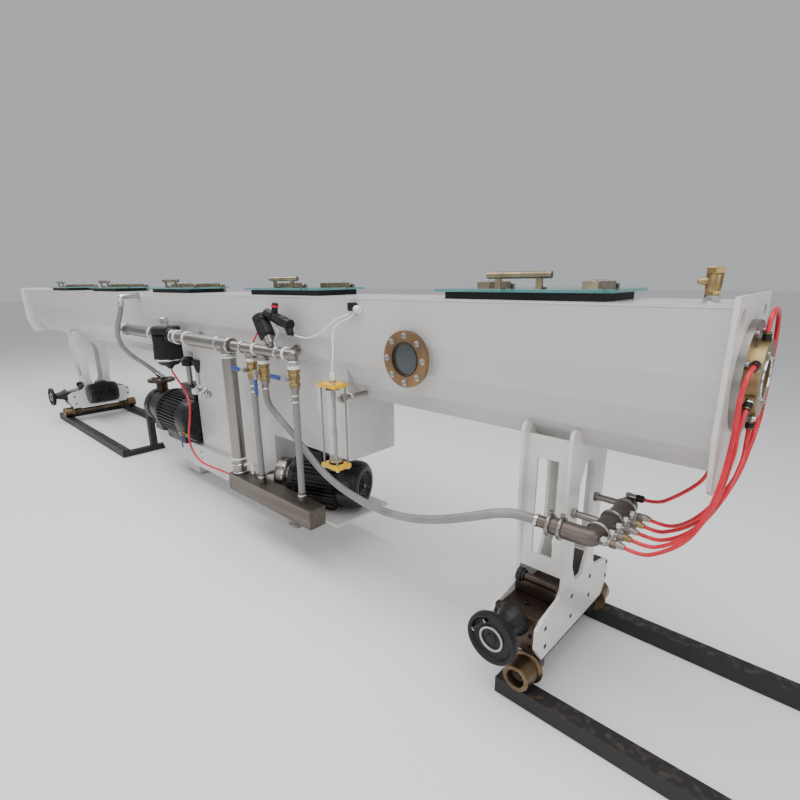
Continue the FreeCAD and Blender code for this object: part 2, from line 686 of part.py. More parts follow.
add("drop_hoses", *[rod((x, service_plane, manifold_z1 + manifold_tail),
                        (x, service_plane, valve_low - valve_tail), clear_hose_r)
                    for x in straight_drops])
cord_tube("red_drain_hose", drain_route, red_tube_r)

valve_body_r = 22.0
valve_tail_r = 15.0
valve_stem_r = 6.0
valve_stem_long = 40.0      # from the pipe's centre line
bodies = []
for x in valve_xs:
    body = rod((x, service_plane, valve_low), (x, service_plane, valve_high), valve_body_r)
    tail = rod((x, service_plane, valve_low - valve_tail), (x, service_plane, valve_low),
               valve_tail_r)
    stem = rod((x, service_plane - 20, valve_z), (x, service_plane - valve_stem_long, valve_z),
               valve_stem_r)
    bodies.append(fuse([body, tail, stem]))
add("ball_valve_bodies", *bodies)
lever_long = 95.0
lever_half = 9.0
lever_thick = 4.0
lever_hub_r = 11.0
lever_face = service_plane - valve_stem_long - 6.0
for number, x in enumerate(valve_xs, start=1):
    hub = rod((x, lever_face + 16, valve_z), (x, lever_face, valve_z), lever_hub_r)
    hub = hub.cut(rod((x, lever_face + 17, valve_z), (x, lever_face + 5, valve_z),
                      valve_stem_r + running_gap))
    if number == 2:
        arm = box(x - lever_half, x + lever_half, lever_face, lever_face + lever_thick,
                  valve_z - lever_long, valve_z)
    else:
        arm = box(x - lever_long, x, lever_face, lever_face + lever_thick,
                  valve_z - lever_half, valve_z + lever_half)
    add("valve_lever_%d" % number, fuse([hub, arm]))

# ---- strainer -----------------------------------------------------------------------
strainer_x = drain_route[0][0]
strainer_r = 74.0
bowl_r = 60.0
bowl_low = 735.0
bowl_high = 770.0
strainer_top = 945.0
bowl = fuse([
    collar(drain_route[0], drain_route[1], push_fitting_r, push_fitting_collar),
    rod((strainer_x, service_plane, drain_route[0][2] + 5), (strainer_x, service_plane, bowl_low),
        push_fitting_r + 4),
    rod((strainer_x, service_plane, bowl_low), (strainer_x, service_plane, bowl_high), bowl_r),
    rod((strainer_x, service_plane, bowl_high), (strainer_x, service_plane, strainer_top),
        strainer_r)])
add("strainer", bowl.cut(rod((main_x0, service_plane, main_z), (main_x1, service_plane, main_z),
                             main_r + contact_gap)))

# ---- hose manifold on the inlet leg -------------------------------------------------
hose_x = -225.0
hose_z = 535.0
hose_pipe_r = 25.0
hose_tail_y = -190.0
hose_tail_x = -372.0
hose_pipe_y0 = -211.0
hose_pipe_y1 = 75.0
supply_route = [(-1593, -235, 730), (-1593, -235, 684), (-1578, -215, 634), (-1530, -200, 588),
                (-1460, -190, 535), (-1390, -186, 476), (-1295, -190, 425), (-1160, -204, 396),
                (-987, -220, 385), (-820, -230, 403), (-682, -231, 444), (-568, -226, 492),
                (-478, -211, 531), (-424, -194, 538), (-372, -190, 535)]
far_x, far_y, far_z = far_route[0]
hose_pieces = [
    collar(supply_route[-1], supply_route[-2], clear_hose_r + 1, 16.0),
    rod((hose_tail_x + 8, hose_tail_y, hose_z), (hose_tail_x + 32, hose_tail_y, hose_z), 15),
    rod((hose_tail_x + 32, hose_tail_y, hose_z), (hose_x, hose_tail_y, hose_z), 21),
    rod((hose_x, hose_pipe_y0, hose_z), (hose_x, hose_pipe_y1, hose_z), hose_pipe_r),
    rod((hose_x, far_y, hose_z), (hose_x, far_y, far_z + 9), 9),
    rod((hose_x, far_y, far_z), (far_x - 4, far_y, far_z), 9),
    collar(far_route[0], far_route[1], push_fitting_r, push_fitting_collar)]
hose_pieces += [rod((hose_x, y, hose_z), (-inlet_leg_from_inlet, y, hose_z), 10)
                for y in (-85, 66)]
for route in ring_routes:
    x, y, z = route[-1]
    hose_pieces += [rod((hose_x, y, hose_z), (x - 5, y, hose_z), 9),
                    collar(route[-1], route[-2], push_fitting_r, push_fitting_collar)]
add("hose_manifold", fuse(hose_pieces))
cord_tube("clear_supply_hose", supply_route, clear_hose_r)

# ---- level gauge --------------------------------------------------------------------
gauge_x = -1148.0
gauge_y = service_plane - 6.0
gauge_z0 = 505.0
gauge_z1 = 820.0
gauge_plate = 15.0
gauge_half_x = 45.0
gauge_half_y = 34.0
gauge_rod_r = 3.5
gauge_tube_r = 24.0
gauge_cable_route = [(-1116, -157, 1056), (-1124, -164, 1041), (-1156, -184, 1025),
                     (-1185, -200, 1001), (-1172, -212, 955), (-1158, -226, 908),
                     (-1148, -241, 866)]
gauge_rods = [rod((gauge_x + a * 36, gauge_y + b * 25, gauge_z0 + gauge_plate),
                  (gauge_x + a * 36, gauge_y + b * 25, gauge_z1 - gauge_plate), gauge_rod_r)
              for a in (-1, 1) for b in (-1, 1)]
feed = rod((gauge_x, gauge_y + 20, 755), (gauge_x, -70, 755), 11)
glass_tube = rod((gauge_x, gauge_y, gauge_z0 + gauge_plate),
                 (gauge_x, gauge_y, gauge_z1 - gauge_plate), gauge_tube_r)
gauge_feed = feed.cut(tank_outside).cut(nodes["water_box"]).cut(
    rod((gauge_x, gauge_y, gauge_z0), (gauge_x, gauge_y, gauge_z1), gauge_tube_r + 0.05))
gauge_frame = fuse([
    box(gauge_x - gauge_half_x, gauge_x + gauge_half_x, gauge_y - gauge_half_y,
        gauge_y + gauge_half_y, z, z + gauge_plate)
    for z in (gauge_z0, gauge_z1 - gauge_plate)] + gauge_rods + [
    rod((gauge_x, gauge_y, gauge_z1), (gauge_x, gauge_y, gauge_z1 + 36), 9),
    collar(gauge_cable_route[-1], gauge_cable_route[-2], 7, push_fitting_collar)])
add("gauge_frame", gauge_frame, gauge_feed)
add("gauge_tube", glass_tube)

# ---- solenoid valves, cable clip and cables -----------------------------------------
cable_r = 3.0
solenoid_cable_route = [(-1132, -158, 1056), (-1146, -169, 1046), (-1178, -188, 1036),
                        (-1218, -200, 1000), (-1277, -205, 968), (-1345, -208, 956),
                        (-1404, -206, 964)]
header_top = main_z + header_r + contact_gap
solenoids = fuse([
    rod((-1528, service_plane, header_top), (-1528, service_plane, header_top + 18), 12),
    rod((-1530, service_plane, header_top + 14), (-1545, service_plane, 954), 24),
    rod((-1542, service_plane, 948), (-1608, service_plane + 8, 1032), 34),
    rod((-1575, -214, 1042), (-1418, -212, 1002), 23),
    rod((-1520, -212, 1040), (-1510, -212, 1086), 13),
    rod((-1440, -212, 1000), (-1422, -210, 966), 15),
    collar(solenoid_cable_route[-1], solenoid_cable_route[-2], 6, push_fitting_collar)])
clip = fuse([box(-1142, -1106, -166, -tank_half_width, 1062, 1090)] + [
    collar(route[0], route[1], 5, push_fitting_collar)
    for route in (gauge_cable_route, solenoid_cable_route)]).cut(tank_outside)
add("solenoids_and_clip", solenoids, clip)
cord_tube("gauge_cable", gauge_cable_route, cable_r)
cord_tube("solenoid_cable", solenoid_cable_route, cable_r)

# ---- shift the footprint's centre to the origin and write the files -------------------
# The free hoses and cables are left out of the footprint.
free_cords = set(ring_names + ["red_hose_6", "clear_vacuum_hose", "red_drain_hose",
                               "clear_supply_hose", "gauge_cable", "solenoid_cable"])
held = Part.makeCompound([shape for name, shape in nodes.items() if name not in free_cords])
bounds = held.optimalBoundingBox(False)
shift = V(-(bounds.XMin + bounds.XMax) / 2, -(bounds.YMin + bounds.YMax) / 2, -bounds.ZMin)
print("shift", [round(v, 4) for v in shift])
for name, shape in nodes.items():
    placed = shape.copy()
    placed.translate(shift)
    if not placed.isValid():
        print("NOT VALID", name)
    placed.exportStep("parts/%s.step" % name)
print(len(nodes), "nodes; size", [round(v, 1) for v in (bounds.XLength, bounds.YLength,
                                                       bounds.ZLength)])
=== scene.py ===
import bpy, bmesh, math
from mathutils import Matrix, Vector


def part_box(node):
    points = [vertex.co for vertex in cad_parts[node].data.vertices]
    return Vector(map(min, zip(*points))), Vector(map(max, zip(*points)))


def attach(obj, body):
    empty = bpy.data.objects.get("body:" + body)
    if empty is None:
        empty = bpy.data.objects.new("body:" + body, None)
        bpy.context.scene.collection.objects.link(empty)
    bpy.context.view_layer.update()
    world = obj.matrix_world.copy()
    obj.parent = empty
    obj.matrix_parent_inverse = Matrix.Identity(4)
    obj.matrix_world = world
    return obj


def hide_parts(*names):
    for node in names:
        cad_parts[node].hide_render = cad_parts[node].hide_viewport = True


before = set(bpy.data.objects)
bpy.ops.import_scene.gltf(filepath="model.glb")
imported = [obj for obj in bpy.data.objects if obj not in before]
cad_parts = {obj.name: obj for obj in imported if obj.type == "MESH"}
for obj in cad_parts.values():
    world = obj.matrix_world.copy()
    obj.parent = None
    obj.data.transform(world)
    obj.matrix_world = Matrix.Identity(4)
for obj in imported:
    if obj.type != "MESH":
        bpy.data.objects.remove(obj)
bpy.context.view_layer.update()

# ---- where things are ----------------------------------------------------------------
# The maker measures from the inlet end plate's outer face, along the pipe's centre line,
# and up from the floor. Everything below is given that way, in metres. Forth is towards
# the extruder, and near is the operator's side.
plate_low, plate_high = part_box("inlet_end_plate")
inlet_face = plate_high.x
centre_line = (plate_low.y + plate_high.y) / 2


def at(x, y, z):
    return Vector((inlet_face + x, centre_line + y, z))


up, down = Vector((0, 0, 1)), Vector((0, 0, -1))
forth = Vector((1, 0, 0))
near, far = Vector((0, -1, 0)), Vector((0, 1, 0))


# ---- camera --------------------------------------------------------------------------
# A wide lens at chest height beside the inlet end, looking down the machine.
eye_place = at(0.1930, -1.3410, 1.1698)
eye = bpy.data.objects.new("camera", bpy.data.cameras.new("camera"))
bpy.context.scene.collection.objects.link(eye)
bpy.context.scene.camera = eye
turn, tip, lean = math.radians(43.945), math.radians(16.158), math.radians(-0.856)
ahead = Vector((-math.sin(turn) * math.cos(tip), math.cos(turn) * math.cos(tip), -math.sin(tip)))
level = Vector((math.cos(turn), math.sin(turn), 0))
upward = level.cross(ahead)
right = level * math.cos(lean) + upward * math.sin(lean)
top = upward * math.cos(lean) - level * math.sin(lean)
eye.matrix_world = (Matrix.Translation(eye_place)
                    @ Matrix((right, top, -ahead)).transposed().to_4x4())
eye.data.sensor_width = 36.0
eye.data.lens = 22.464
eye.data.shift_x = 0.0115
eye.data.shift_y = 0.0282
eye.data.clip_start = 0.02


# ---- hoses and cables ----------------------------------------------------------------
# Polyurethane water tubes, braided clear hose and thin white cable. Each lies free
# between two fittings, and is one smooth length.
class Signal:
    """One output of a shader node, so sums on it can be written as they are worked out."""

    def __init__(self, finish, socket):
        self.finish, self.socket = finish, socket

    def sum(self, operation, first, second):
        return self.finish.node("ShaderNodeMath", {"operation": operation}, {0: first, 1: second})

    def __add__(self, other):
        return self.sum("ADD", self, other)

    def __radd__(self, other):
        return self.sum("ADD", other, self)

    def __sub__(self, other):
        return self.sum("SUBTRACT", self, other)

    def __rsub__(self, other):
        return self.sum("SUBTRACT", other, self)

    def __mul__(self, other):
        return self.sum("MULTIPLY", self, other)

    def __rmul__(self, other):
        return self.sum("MULTIPLY", other, self)

    def between(self, low, high):
        return self.finish.node("ShaderNodeMapRange", {}, {"Value": self, "From Min": low,
                                                           "From Max": high})


class Finish:
    """A surface finish: one Principled shader, fed with patterns where it varies."""

    def __init__(self, name, **uniform):
        self.material = bpy.data.materials.new(name)
        self.material.use_nodes = True
        self.tree = self.material.node_tree
        self.shader = self.tree.nodes["Principled BSDF"]
        for socket, value in uniform.items():
            self.show(socket.replace("_", " "), value)

    def node(self, kind, settings=None, inputs=None, output=0):
        made = self.tree.nodes.new(kind)
        for name, value in (settings or {}).items():
            setattr(made, name, value)
        for name, value in (inputs or {}).items():
            self.feed(made.inputs[name], value)
        return Signal(self, made.outputs[output])

    def feed(self, socket, value):
        if isinstance(value, Signal):
            self.tree.links.new(value.socket, socket)
        else:
            socket.default_value = value

    def show(self, socket, value):
        self.feed(self.shader.inputs[socket], value)

    def place(self, stretch=(1, 1, 1)):
        here = self.node("ShaderNodeTexCoord", output="Object")
        return self.node("ShaderNodeMapping", {}, {"Vector": here, "Scale": stretch})

    def noise(self, scale, detail=2.0, stretch=(1, 1, 1)):
        return self.node("ShaderNodeTexNoise", {}, {"Vector": self.place(stretch),
                                                    "Scale": scale, "Detail": detail})

    def axis(self, name):
        here = self.node("ShaderNodeTexCoord", output="Object")
        return self.node("ShaderNodeSeparateXYZ", {}, {0: here}, output=name)

    def colours(self, mask, colour, other):
        self.show("Base Color", self.node("ShaderNodeMix", {"data_type": "RGBA"},
                                          {0: mask, 6: (*colour, 1), 7: (*other, 1)}, 2))

    def bump(self, height, depth):
        self.show("Normal", self.node("ShaderNodeBump", {}, {"Height": height, "Distance": depth}))


red_tube = Finish("red_tube", Coat_Weight=0.15, Coat_Roughness=0.12)
tube_cloud = red_tube.noise(22.0)
red_tube.colours(tube_cloud.between(0.35, 0.75), (0.72, 0.006, 0.028), (0.45, 0.003, 0.012))
red_tube.show("Roughness", 0.2 + 0.15 * tube_cloud)
red_tube.bump(red_tube.noise(350.0), 0.0003)

clear_hose = Finish("clear_hose", Coat_Weight=0.4, Coat_Roughness=0.1)
braid = clear_hose.node("ShaderNodeTexVoronoi", {}, {"Vector": clear_hose.place(), "Scale": 260.0})
hose_cloud = clear_hose.noise(9.0)
clear_hose.colours(hose_cloud.between(0.3, 0.7), (0.3, 0.285, 0.275), (0.17, 0.158, 0.15))
clear_hose.show("Roughness", 0.16 + 0.25 * braid)
clear_hose.show("Alpha", 0.78 + 0.2 * hose_cloud)
clear_hose.bump(braid, 0.0005)

cable_sheath = Finish("cable_sheath", Roughness=0.4)
cable_sheath.colours(cable_sheath.noise(30.0), (0.85, 0.84, 0.82), (0.62, 0.6, 0.58))


def hose(name, stands_for, route, radius, finish):
    line = bpy.data.curves.new(name, "CURVE")
    line.dimensions = "3D"
    line.bevel_depth = radius
    line.bevel_resolution = 5
    line.resolution_u = 8
    line.use_fill_caps = True
    spline = line.splines.new("NURBS")
    spline.points.add(len(route) - 1)
    for knot, (x, y, z) in zip(spline.points, route):
        knot.co = (*at(x, y, z), 1)
    spline.order_u = 3
    spline.use_endpoint_u = True
    piece = bpy.data.objects.new(name, line)
    bpy.context.scene.collection.objects.link(piece)
    line.materials.append(finish.material)
    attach(piece, "carriage")
    at(*route[0])
    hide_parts(stands_for)


water_tube_r, clear_hose_r, cable_r = 0.005, 0.014, 0.003
red_runs = {
    "red_hose_1": (0.574, [
        (0.030, -0.107, 0.986), (0.029, -0.134, 0.980), (0.026, -0.152, 0.958),
        (0.022, -0.150, 0.920), (0.024, -0.150, 0.871), (0.023, -0.151, 0.824),
        (0.021, -0.155, 0.778), (0.017, -0.162, 0.734), (0.010, -0.170, 0.691),
        (-0.003, -0.176, 0.641), (-0.027, -0.179, 0.593), (-0.067, -0.181, 0.554),
        (-0.110, -0.180, 0.527), (-0.150, -0.180, 0.535)]),
    "red_hose_2": (0.464, [
        (0.030, -0.102, 0.895), (0.029, -0.118, 0.876), (0.026, -0.130, 0.846),
        (0.028, -0.135, 0.810), (0.024, -0.138, 0.773), (0.020, -0.143, 0.731),
        (0.012, -0.146, 0.687), (-0.005, -0.148, 0.634), (-0.032, -0.144, 0.589),
        (-0.074, -0.136, 0.549), (-0.110, -0.132, 0.529), (-0.150, -0.132, 0.535)]),
    "red_hose_3": (0.450, [
        (0.030, -0.016, 0.834), (0.030, -0.018, 0.804), (0.033, -0.032, 0.777),
        (0.033, -0.072, 0.750), (0.029, -0.112, 0.721), (0.016, -0.130, 0.683),
        (-0.002, -0.131, 0.641), (-0.030, -0.118, 0.593), (-0.073, -0.094, 0.549),
        (-0.110, -0.084, 0.529), (-0.150, -0.084, 0.535)]),
    "red_hose_4": (0.551, [
        (0.030, 0.073, 0.860), (0.029, 0.084, 0.834), (0.029, 0.080, 0.804),
        (0.029, 0.058, 0.770), (0.030, 0.004, 0.745), (0.029, -0.058, 0.724),
        (0.021, -0.106, 0.698), (0.005, -0.122, 0.665), (-0.019, -0.112, 0.623),
        (-0.051, -0.084, 0.584), (-0.082, -0.056, 0.554), (-0.115, -0.038, 0.530),
        (-0.150, -0.036, 0.535)]),
    "red_hose_5": (0.898, [
        (0.030, -0.010, 1.046), (0.030, -0.008, 1.071), (0.031, 0.010, 1.089),
        (0.031, 0.040, 1.096), (0.032, 0.072, 1.088), (0.032, 0.097, 1.062),
        (0.032, 0.112, 1.022), (0.032, 0.117, 0.970), (0.032, 0.118, 0.915),
        (0.032, 0.116, 0.862), (0.031, 0.106, 0.812), (0.027, 0.072, 0.759),
        (0.025, 0.014, 0.731), (0.022, -0.042, 0.711), (0.013, -0.080, 0.690),
        (-0.005, -0.090, 0.655), (-0.029, -0.070, 0.615), (-0.058, -0.036, 0.575),
        (-0.088, -0.006, 0.545), (-0.116, 0.011, 0.531), (-0.150, 0.012, 0.535)]),
    "red_hose_6": (0.222, [
        (-0.185, 0.062, 0.566), (-0.150, 0.062, 0.565), (-0.110, 0.062, 0.598),
        (-0.076, 0.060, 0.633), (-0.049, 0.050, 0.670), (-0.038, 0.028, 0.704)]),
    "red_drain_hose": (0.931, [
        (-2.520, -0.235, 0.712), (-2.518, -0.214, 0.666), (-2.429, -0.216, 0.617),
        (-2.323, -0.240, 0.562), (-2.299, -0.262, 0.479), (-2.332, -0.268, 0.381),
        (-2.321, -0.264, 0.304), (-2.259, -0.256, 0.255), (-2.156, -0.248, 0.246),
        (-2.030, -0.238, 0.250), (-1.935, -0.235, 0.246)])}
for hose_name, (hose_length, hose_route) in red_runs.items():
    hose(hose_name + "_tube", hose_name, hose_route, water_tube_r,
         red_tube)
hose("supply_tube", "clear_supply_hose", [
    (-1.593, -0.235, 0.730), (-1.593, -0.235, 0.684), (-1.578, -0.215, 0.634),
    (-1.530, -0.200, 0.588), (-1.460, -0.190, 0.535), (-1.390, -0.186, 0.476),
    (-1.295, -0.190, 0.425), (-1.160, -0.204, 0.396), (-0.987, -0.220, 0.385),
    (-0.820, -0.230, 0.403), (-0.682, -0.231, 0.444), (-0.568, -0.226, 0.492),
    (-0.478, -0.211, 0.531), (-0.424, -0.194, 0.538), (-0.372, -0.190, 0.535)],
    clear_hose_r, clear_hose)
hose("suction_tube", "clear_vacuum_hose", [
    (-3.052, -0.255, 1.045), (-3.054, -0.268, 0.985), (-3.084, -0.286, 0.914),
    (-3.112, -0.284, 0.838), (-3.112, -0.258, 0.770), (-3.088, -0.208, 0.712),
    (-3.062, -0.160, 0.668), (-3.044, -0.112, 0.614)],
    clear_hose_r, clear_hose)
hose("gauge_lead", "gauge_cable", [
    (-1.116, -0.157, 1.056), (-1.124, -0.164, 1.041), (-1.156, -0.184, 1.025),
    (-1.185, -0.200, 1.001), (-1.172, -0.212, 0.955), (-1.158, -0.226, 0.908),
    (-1.148, -0.241, 0.866)], cable_r, cable_sheath)
hose("coil_lead", "solenoid_cable", [
    (-1.132, -0.158, 1.056), (-1.146, -0.169, 1.046), (-1.178, -0.188, 1.036),
    (-1.218, -0.200, 1.000), (-1.277, -0.205, 0.968), (-1.345, -0.208, 0.956),
    (-1.404, -0.206, 0.964)], cable_r, cable_sheath)

# ---- workshop floor and light --------------------------------------------------------
# Plain pale floor, a large soft light overhead, one from the operator's side and a weak
# one from the inlet end.
floor_paint = Finish("floor_paint", Roughness=0.7)
floor_paint.colours(floor_paint.noise(0.7), (0.88, 0.88, 0.88), (0.84, 0.84, 0.84))
floor_mesh = bpy.data.meshes.new("workshop_floor")
floor_mesh.from_pydata([(-40, -40, -0.002), (40, -40, -0.002), (40, 40, -0.002),
                        (-40, 40, -0.002)], [], [(0, 1, 2, 3)])
floor_mesh.materials.append(floor_paint.material)
workshop_floor = bpy.data.objects.new("workshop_floor", floor_mesh)
bpy.context.scene.collection.objects.link(workshop_floor)


def soft_light(name, place, target, size, power):
    lamp = bpy.data.lights.new(name, "AREA")
    lamp.shape, lamp.size, lamp.size_y, lamp.energy = "RECTANGLE", size[0], size[1], power
    holder = bpy.data.objects.new(name, lamp)
    holder.location = place
    holder.rotation_euler = (target - place).to_track_quat("-Z", "Y").to_euler()
    bpy.context.scene.collection.objects.link(holder)


soft_light("overhead_light", at(-2.6, -0.6, 3.6), at(-2.6, 0.0, 0.8), (9.0, 2.6), 250)
soft_light("operator_light", at(-0.8, -4.5, 2.2), at(-1.6, 0.0, 0.7), (6.0, 2.4), 60)
soft_light("inlet_light", at(3.2, -1.2, 2.0), at(-0.5, 0.0, 0.8), (2.4, 2.4), 34)
world = bpy.data.worlds.new("workshop")
world.use_nodes = True
sky = world.node_tree.nodes["Background"]
sky.inputs["Color"].default_value = (0.93, 0.95, 1.0, 1)
sky.inputs["Strength"].default_value = 0.5
bpy.context.scene.world = world


# ---- floor rails ---------------------------------------------------------------------
# Welded frames of square black bar. The wheels have worn the paint off the top edges,
# and each corner has a weld bead.
def coat(finish, *nodes):
    for name in nodes:
        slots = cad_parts[name].data.materials
        slots.clear()
        slots.append(finish.material)


rail_black = Finish("rail_black")
rail_top = rail_black.axis("Z").between(0.046, 0.0505)
rail_rub = rail_top * rail_black.noise(45.0, 6.0).between(0.5, 0.7)
rail_black.colours(rail_rub, (0.008, 0.0075, 0.0075), (0.06, 0.043, 0.032))
rail_black.show("Roughness", 0.55 - 0.25 * rail_rub)
rail_black.bump(rail_black.noise(90.0, 4.0), 0.0006)
coat(rail_black, "floor_rails")


def around(middle, across, other, reach, count, start=0.0):
    """Spots spaced evenly on a circle; start is a share of their spacing."""
    for step in range(count):
        angle = math.tau * (step + start) / count
        yield middle + (across * math.cos(angle) + other * math.sin(angle)) * reach


class Piece:
    """One made-up part: turned, cut and bent shapes, each with its finish."""

    def __init__(self, name):
        self.name, self.points, self.faces, self.marks, self.finishes = name, [], [], [], []

    def add(self, points, faces, finish):
        if finish not in self.finishes:
            self.finishes.append(finish)
        first = len(self.points)
        self.points += [Vector(p) for p in points]
        self.faces += [[corner + first for corner in face] for face in faces]
        self.marks += [self.finishes.index(finish)] * len(faces)

    def turned(self, start, along, profile, finish, sides=28, teeth=None):
        """A turned shape: (distance, radius) pairs along an axis, with teeth if wanted."""
        along = Vector(along).normalized()
        across = along.orthogonal().normalized()
        other = along.cross(across)
        if teeth:
            sides = teeth[0] * 4
        points, rows = [], []
        for distance, radius in profile:
            count = 1 if radius == 0 else sides
            rows.append(list(range(len(points), len(points) + count)))
            for step in range(count):
                angle = math.tau * step / count
                reach = radius
                if teeth and radius > 0 and step % 4 < 2:
                    reach = radius - teeth[1]
                points.append(start + along * distance
                              + (across * math.cos(angle) + other * math.sin(angle)) * reach)
        faces = []
        for low, high in zip(rows, rows[1:]):
            for step in range(max(len(low), len(high))):
                after = (step + 1) % max(len(low), len(high))
                if len(low) == 1 and len(high) > 1:
                    faces.append([low[0], high[after], high[step]])
                elif len(high) == 1 and len(low) > 1:
                    faces.append([low[step], low[after], high[0]])
                elif len(low) > 1:
                    faces.append([low[step], low[after], high[after], high[step]])
        self.add(points, faces, finish)

    def block(self, low, high, finish, edge=0.002, pose=Matrix()):
        """A block with eased edges, between two corners, then moved by pose."""
        shape = bmesh.new()
        size = Vector(high) - Vector(low)
        middle = (Vector(low) + Vector(high)) / 2
        bmesh.ops.create_cube(shape, size=1.0,
                              matrix=Matrix.Translation(middle) @ Matrix.Diagonal((*size, 1)))
        bmesh.ops.bevel(shape, geom=shape.edges[:], offset=min(edge, min(size) * 0.4),
                        segments=2, profile=0.5, affect="EDGES")
        bmesh.ops.transform(shape, matrix=pose, verts=shape.verts[:])
        self.add([v.co.copy() for v in shape.verts],
                 [[v.index for v in face.verts] for face in shape.faces], finish)
        shape.free()

    def bent(self, route, radius, finish, sides=14):
        """A round bar or pipe that follows a route of points, rounded at its corners."""
        corners = [Vector(p) for p in route]
        path = [corners[0]]
        for before, here, after in zip(corners, corners[1:], corners[2:]):
            reach = 0.45 * min((here - before).length, (after - here).length)
            enter = here + (before - here).normalized() * reach
            leave = here + (after - here).normalized() * reach
            for step in range(7):
                t = step / 6
                path.append(enter.lerp(here, t).lerp(here.lerp(leave, t), t))
        path.append(corners[-1])
        points, faces, across = [], [], None
        for index, spot in enumerate(path):
            ahead = (path[min(index + 1, len(path) - 1)] - path[max(index - 1, 0)]).normalized()
            across = ahead.orthogonal() if across is None else across - ahead * across.dot(ahead)
            across.normalize()
            other = ahead.cross(across)
            points += [spot + (across * math.cos(math.tau * k / sides)
                               + other * math.sin(math.tau * k / sides)) * radius
                       for k in range(sides)]
        for index in range(len(path) - 1):
            for k in range(sides):
                a, b = index * sides + k, index * sides + (k + 1) % sides
                faces.append([a, b, b + sides, a + sides])
        last = (len(path) - 1) * sides
        faces.append(list(range(sides))[::-1])
        faces.append([last + k for k in range(sides)])
        self.add(points, faces, finish)

    def ring(self, spot, along, inner, outer, length, finish, sides=24):
        """A plain collar round an axis."""
        self.turned(spot, along, [
            (0, inner), (0, outer), (length, outer), (length, inner)], finish, sides)

    def washer(self, spot, along, radius, thick, finish, sides=14):
        """A flat washer or pad, closed on top."""
        self.turned(spot, along, [(0, radius), (thick, radius), (thick, 0)], finish, sides)

    def bar(self, start, end, radius, finish, sides=24):
        """A round bar with eased ends, between two points."""
        along, ease = end - start, radius * 0.08
        self.turned(start, along, [
            (0, 0), (0, radius - ease), (ease, radius), (along.length - ease, radius),
            (along.length, radius - ease), (along.length, 0)], finish, sides)

    def screw(self, spot, outward, radius, finish):
        """A socket-head screw, standing out of a face."""
        self.turned(spot, outward, [
            (0, radius * 1.05), (radius * 0.9, radius * 1.05), (radius * 1.05, radius * 0.9),
            (radius * 1.05, radius * 0.5), (radius * 0.4, radius * 0.5), (radius * 0.4, 0)],
            finish, 12)

    def nut(self, spot, outward, radius, height, finish):
        """A six-sided nut or fitting body with chamfered ends."""
        self.turned(spot, outward, [
            (0, 0), (0, radius * 0.92), (height * 0.12, radius), (height * 0.88, radius),
            (height, radius * 0.92), (height, 0)], finish, 6)

    def done(self, body, slot, *stands_for):
        mesh = bpy.data.meshes.new(self.name)
        mesh.from_pydata(self.points, [], self.faces)
        for finish in self.finishes:
            mesh.materials.append(finish.material)
        mesh.polygons.foreach_set("material_index", self.marks)
        shape = bmesh.new()
        shape.from_mesh(mesh)
        bmesh.ops.recalc_face_normals(shape, faces=shape.faces)
        shape.to_mesh(mesh)
        shape.free()
        mesh.polygons.foreach_set("use_smooth", [True] * len(mesh.polygons))
        mesh.set_sharp_from_angle(angle=math.radians(32))
        piece = bpy.data.objects.new(self.name, mesh)
        bpy.context.scene.collection.objects.link(piece)
        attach(piece, body)
        if stands_for:
            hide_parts(*stands_for)
        return piece


weld_grey = Finish("weld_grey", Roughness=0.6)
weld_grey.bump(weld_grey.noise(240.0, 3.0), 0.001)
weld_grey.colours(weld_grey.noise(60.0), (0.02, 0.02, 0.02), (0.06, 0.05, 0.04))
rail_welds = Piece("rail_welds")
rail_long, crossbar_in = 1.56, 0.045
for start_x in (-0.422, -4.96):
    for cross_x in (start_x + crossbar_in, start_x + rail_long - crossbar_in):
        for side in (-1, 1):
            rail_welds.bent([
                at(cross_x, side * 0.2295, 0.003), at(cross_x, side * 0.2295, 0.018),
                at(cross_x, side * 0.2295, 0.033)], 0.0032, weld_grey, 8)
rail_welds.done("root", "black_steel")

# ---- tank shell ----------------------------------------------------------------------
# Folded and welded sheet, sprayed in light grey enamel. The enamel has a faint orange
# peel, a little dust and some smears. A fine bead runs along each seam and fold.
enamel = Finish("enamel", Coat_Weight=0.25, Coat_Roughness=0.12)
dust = enamel.noise(3.0, 5.0).between(0.42, 0.72)
smear = enamel.noise(5.0, 4.0, (0.25, 1.0, 3.0)).between(0.35, 0.75)
enamel.colours(dust * 0.5 + smear * 0.3, (0.56, 0.548, 0.535), (0.5, 0.488, 0.475))
enamel.show("Roughness", 0.22 + 0.12 * smear)
enamel.bump(enamel.noise(140.0, 1.0), 0.00018)
coat(enamel, "tank_trough", "tank_deck")
seam_ends = -5.989, -0.011
tank_seams = Piece("tank_seams")
for edge_y in (-0.1495, 0.1495):
    tank_seams.bent([at(x, edge_y, 1.1035) for x in seam_ends], 0.0014, enamel, 8)
for fold_side in (-1, 1):
    tank_seams.bent([at(x, fold_side * 0.0445, 0.7262) for x in seam_ends], 0.0016, enamel, 8)
tank_seams.done("carriage", "tank_paint")

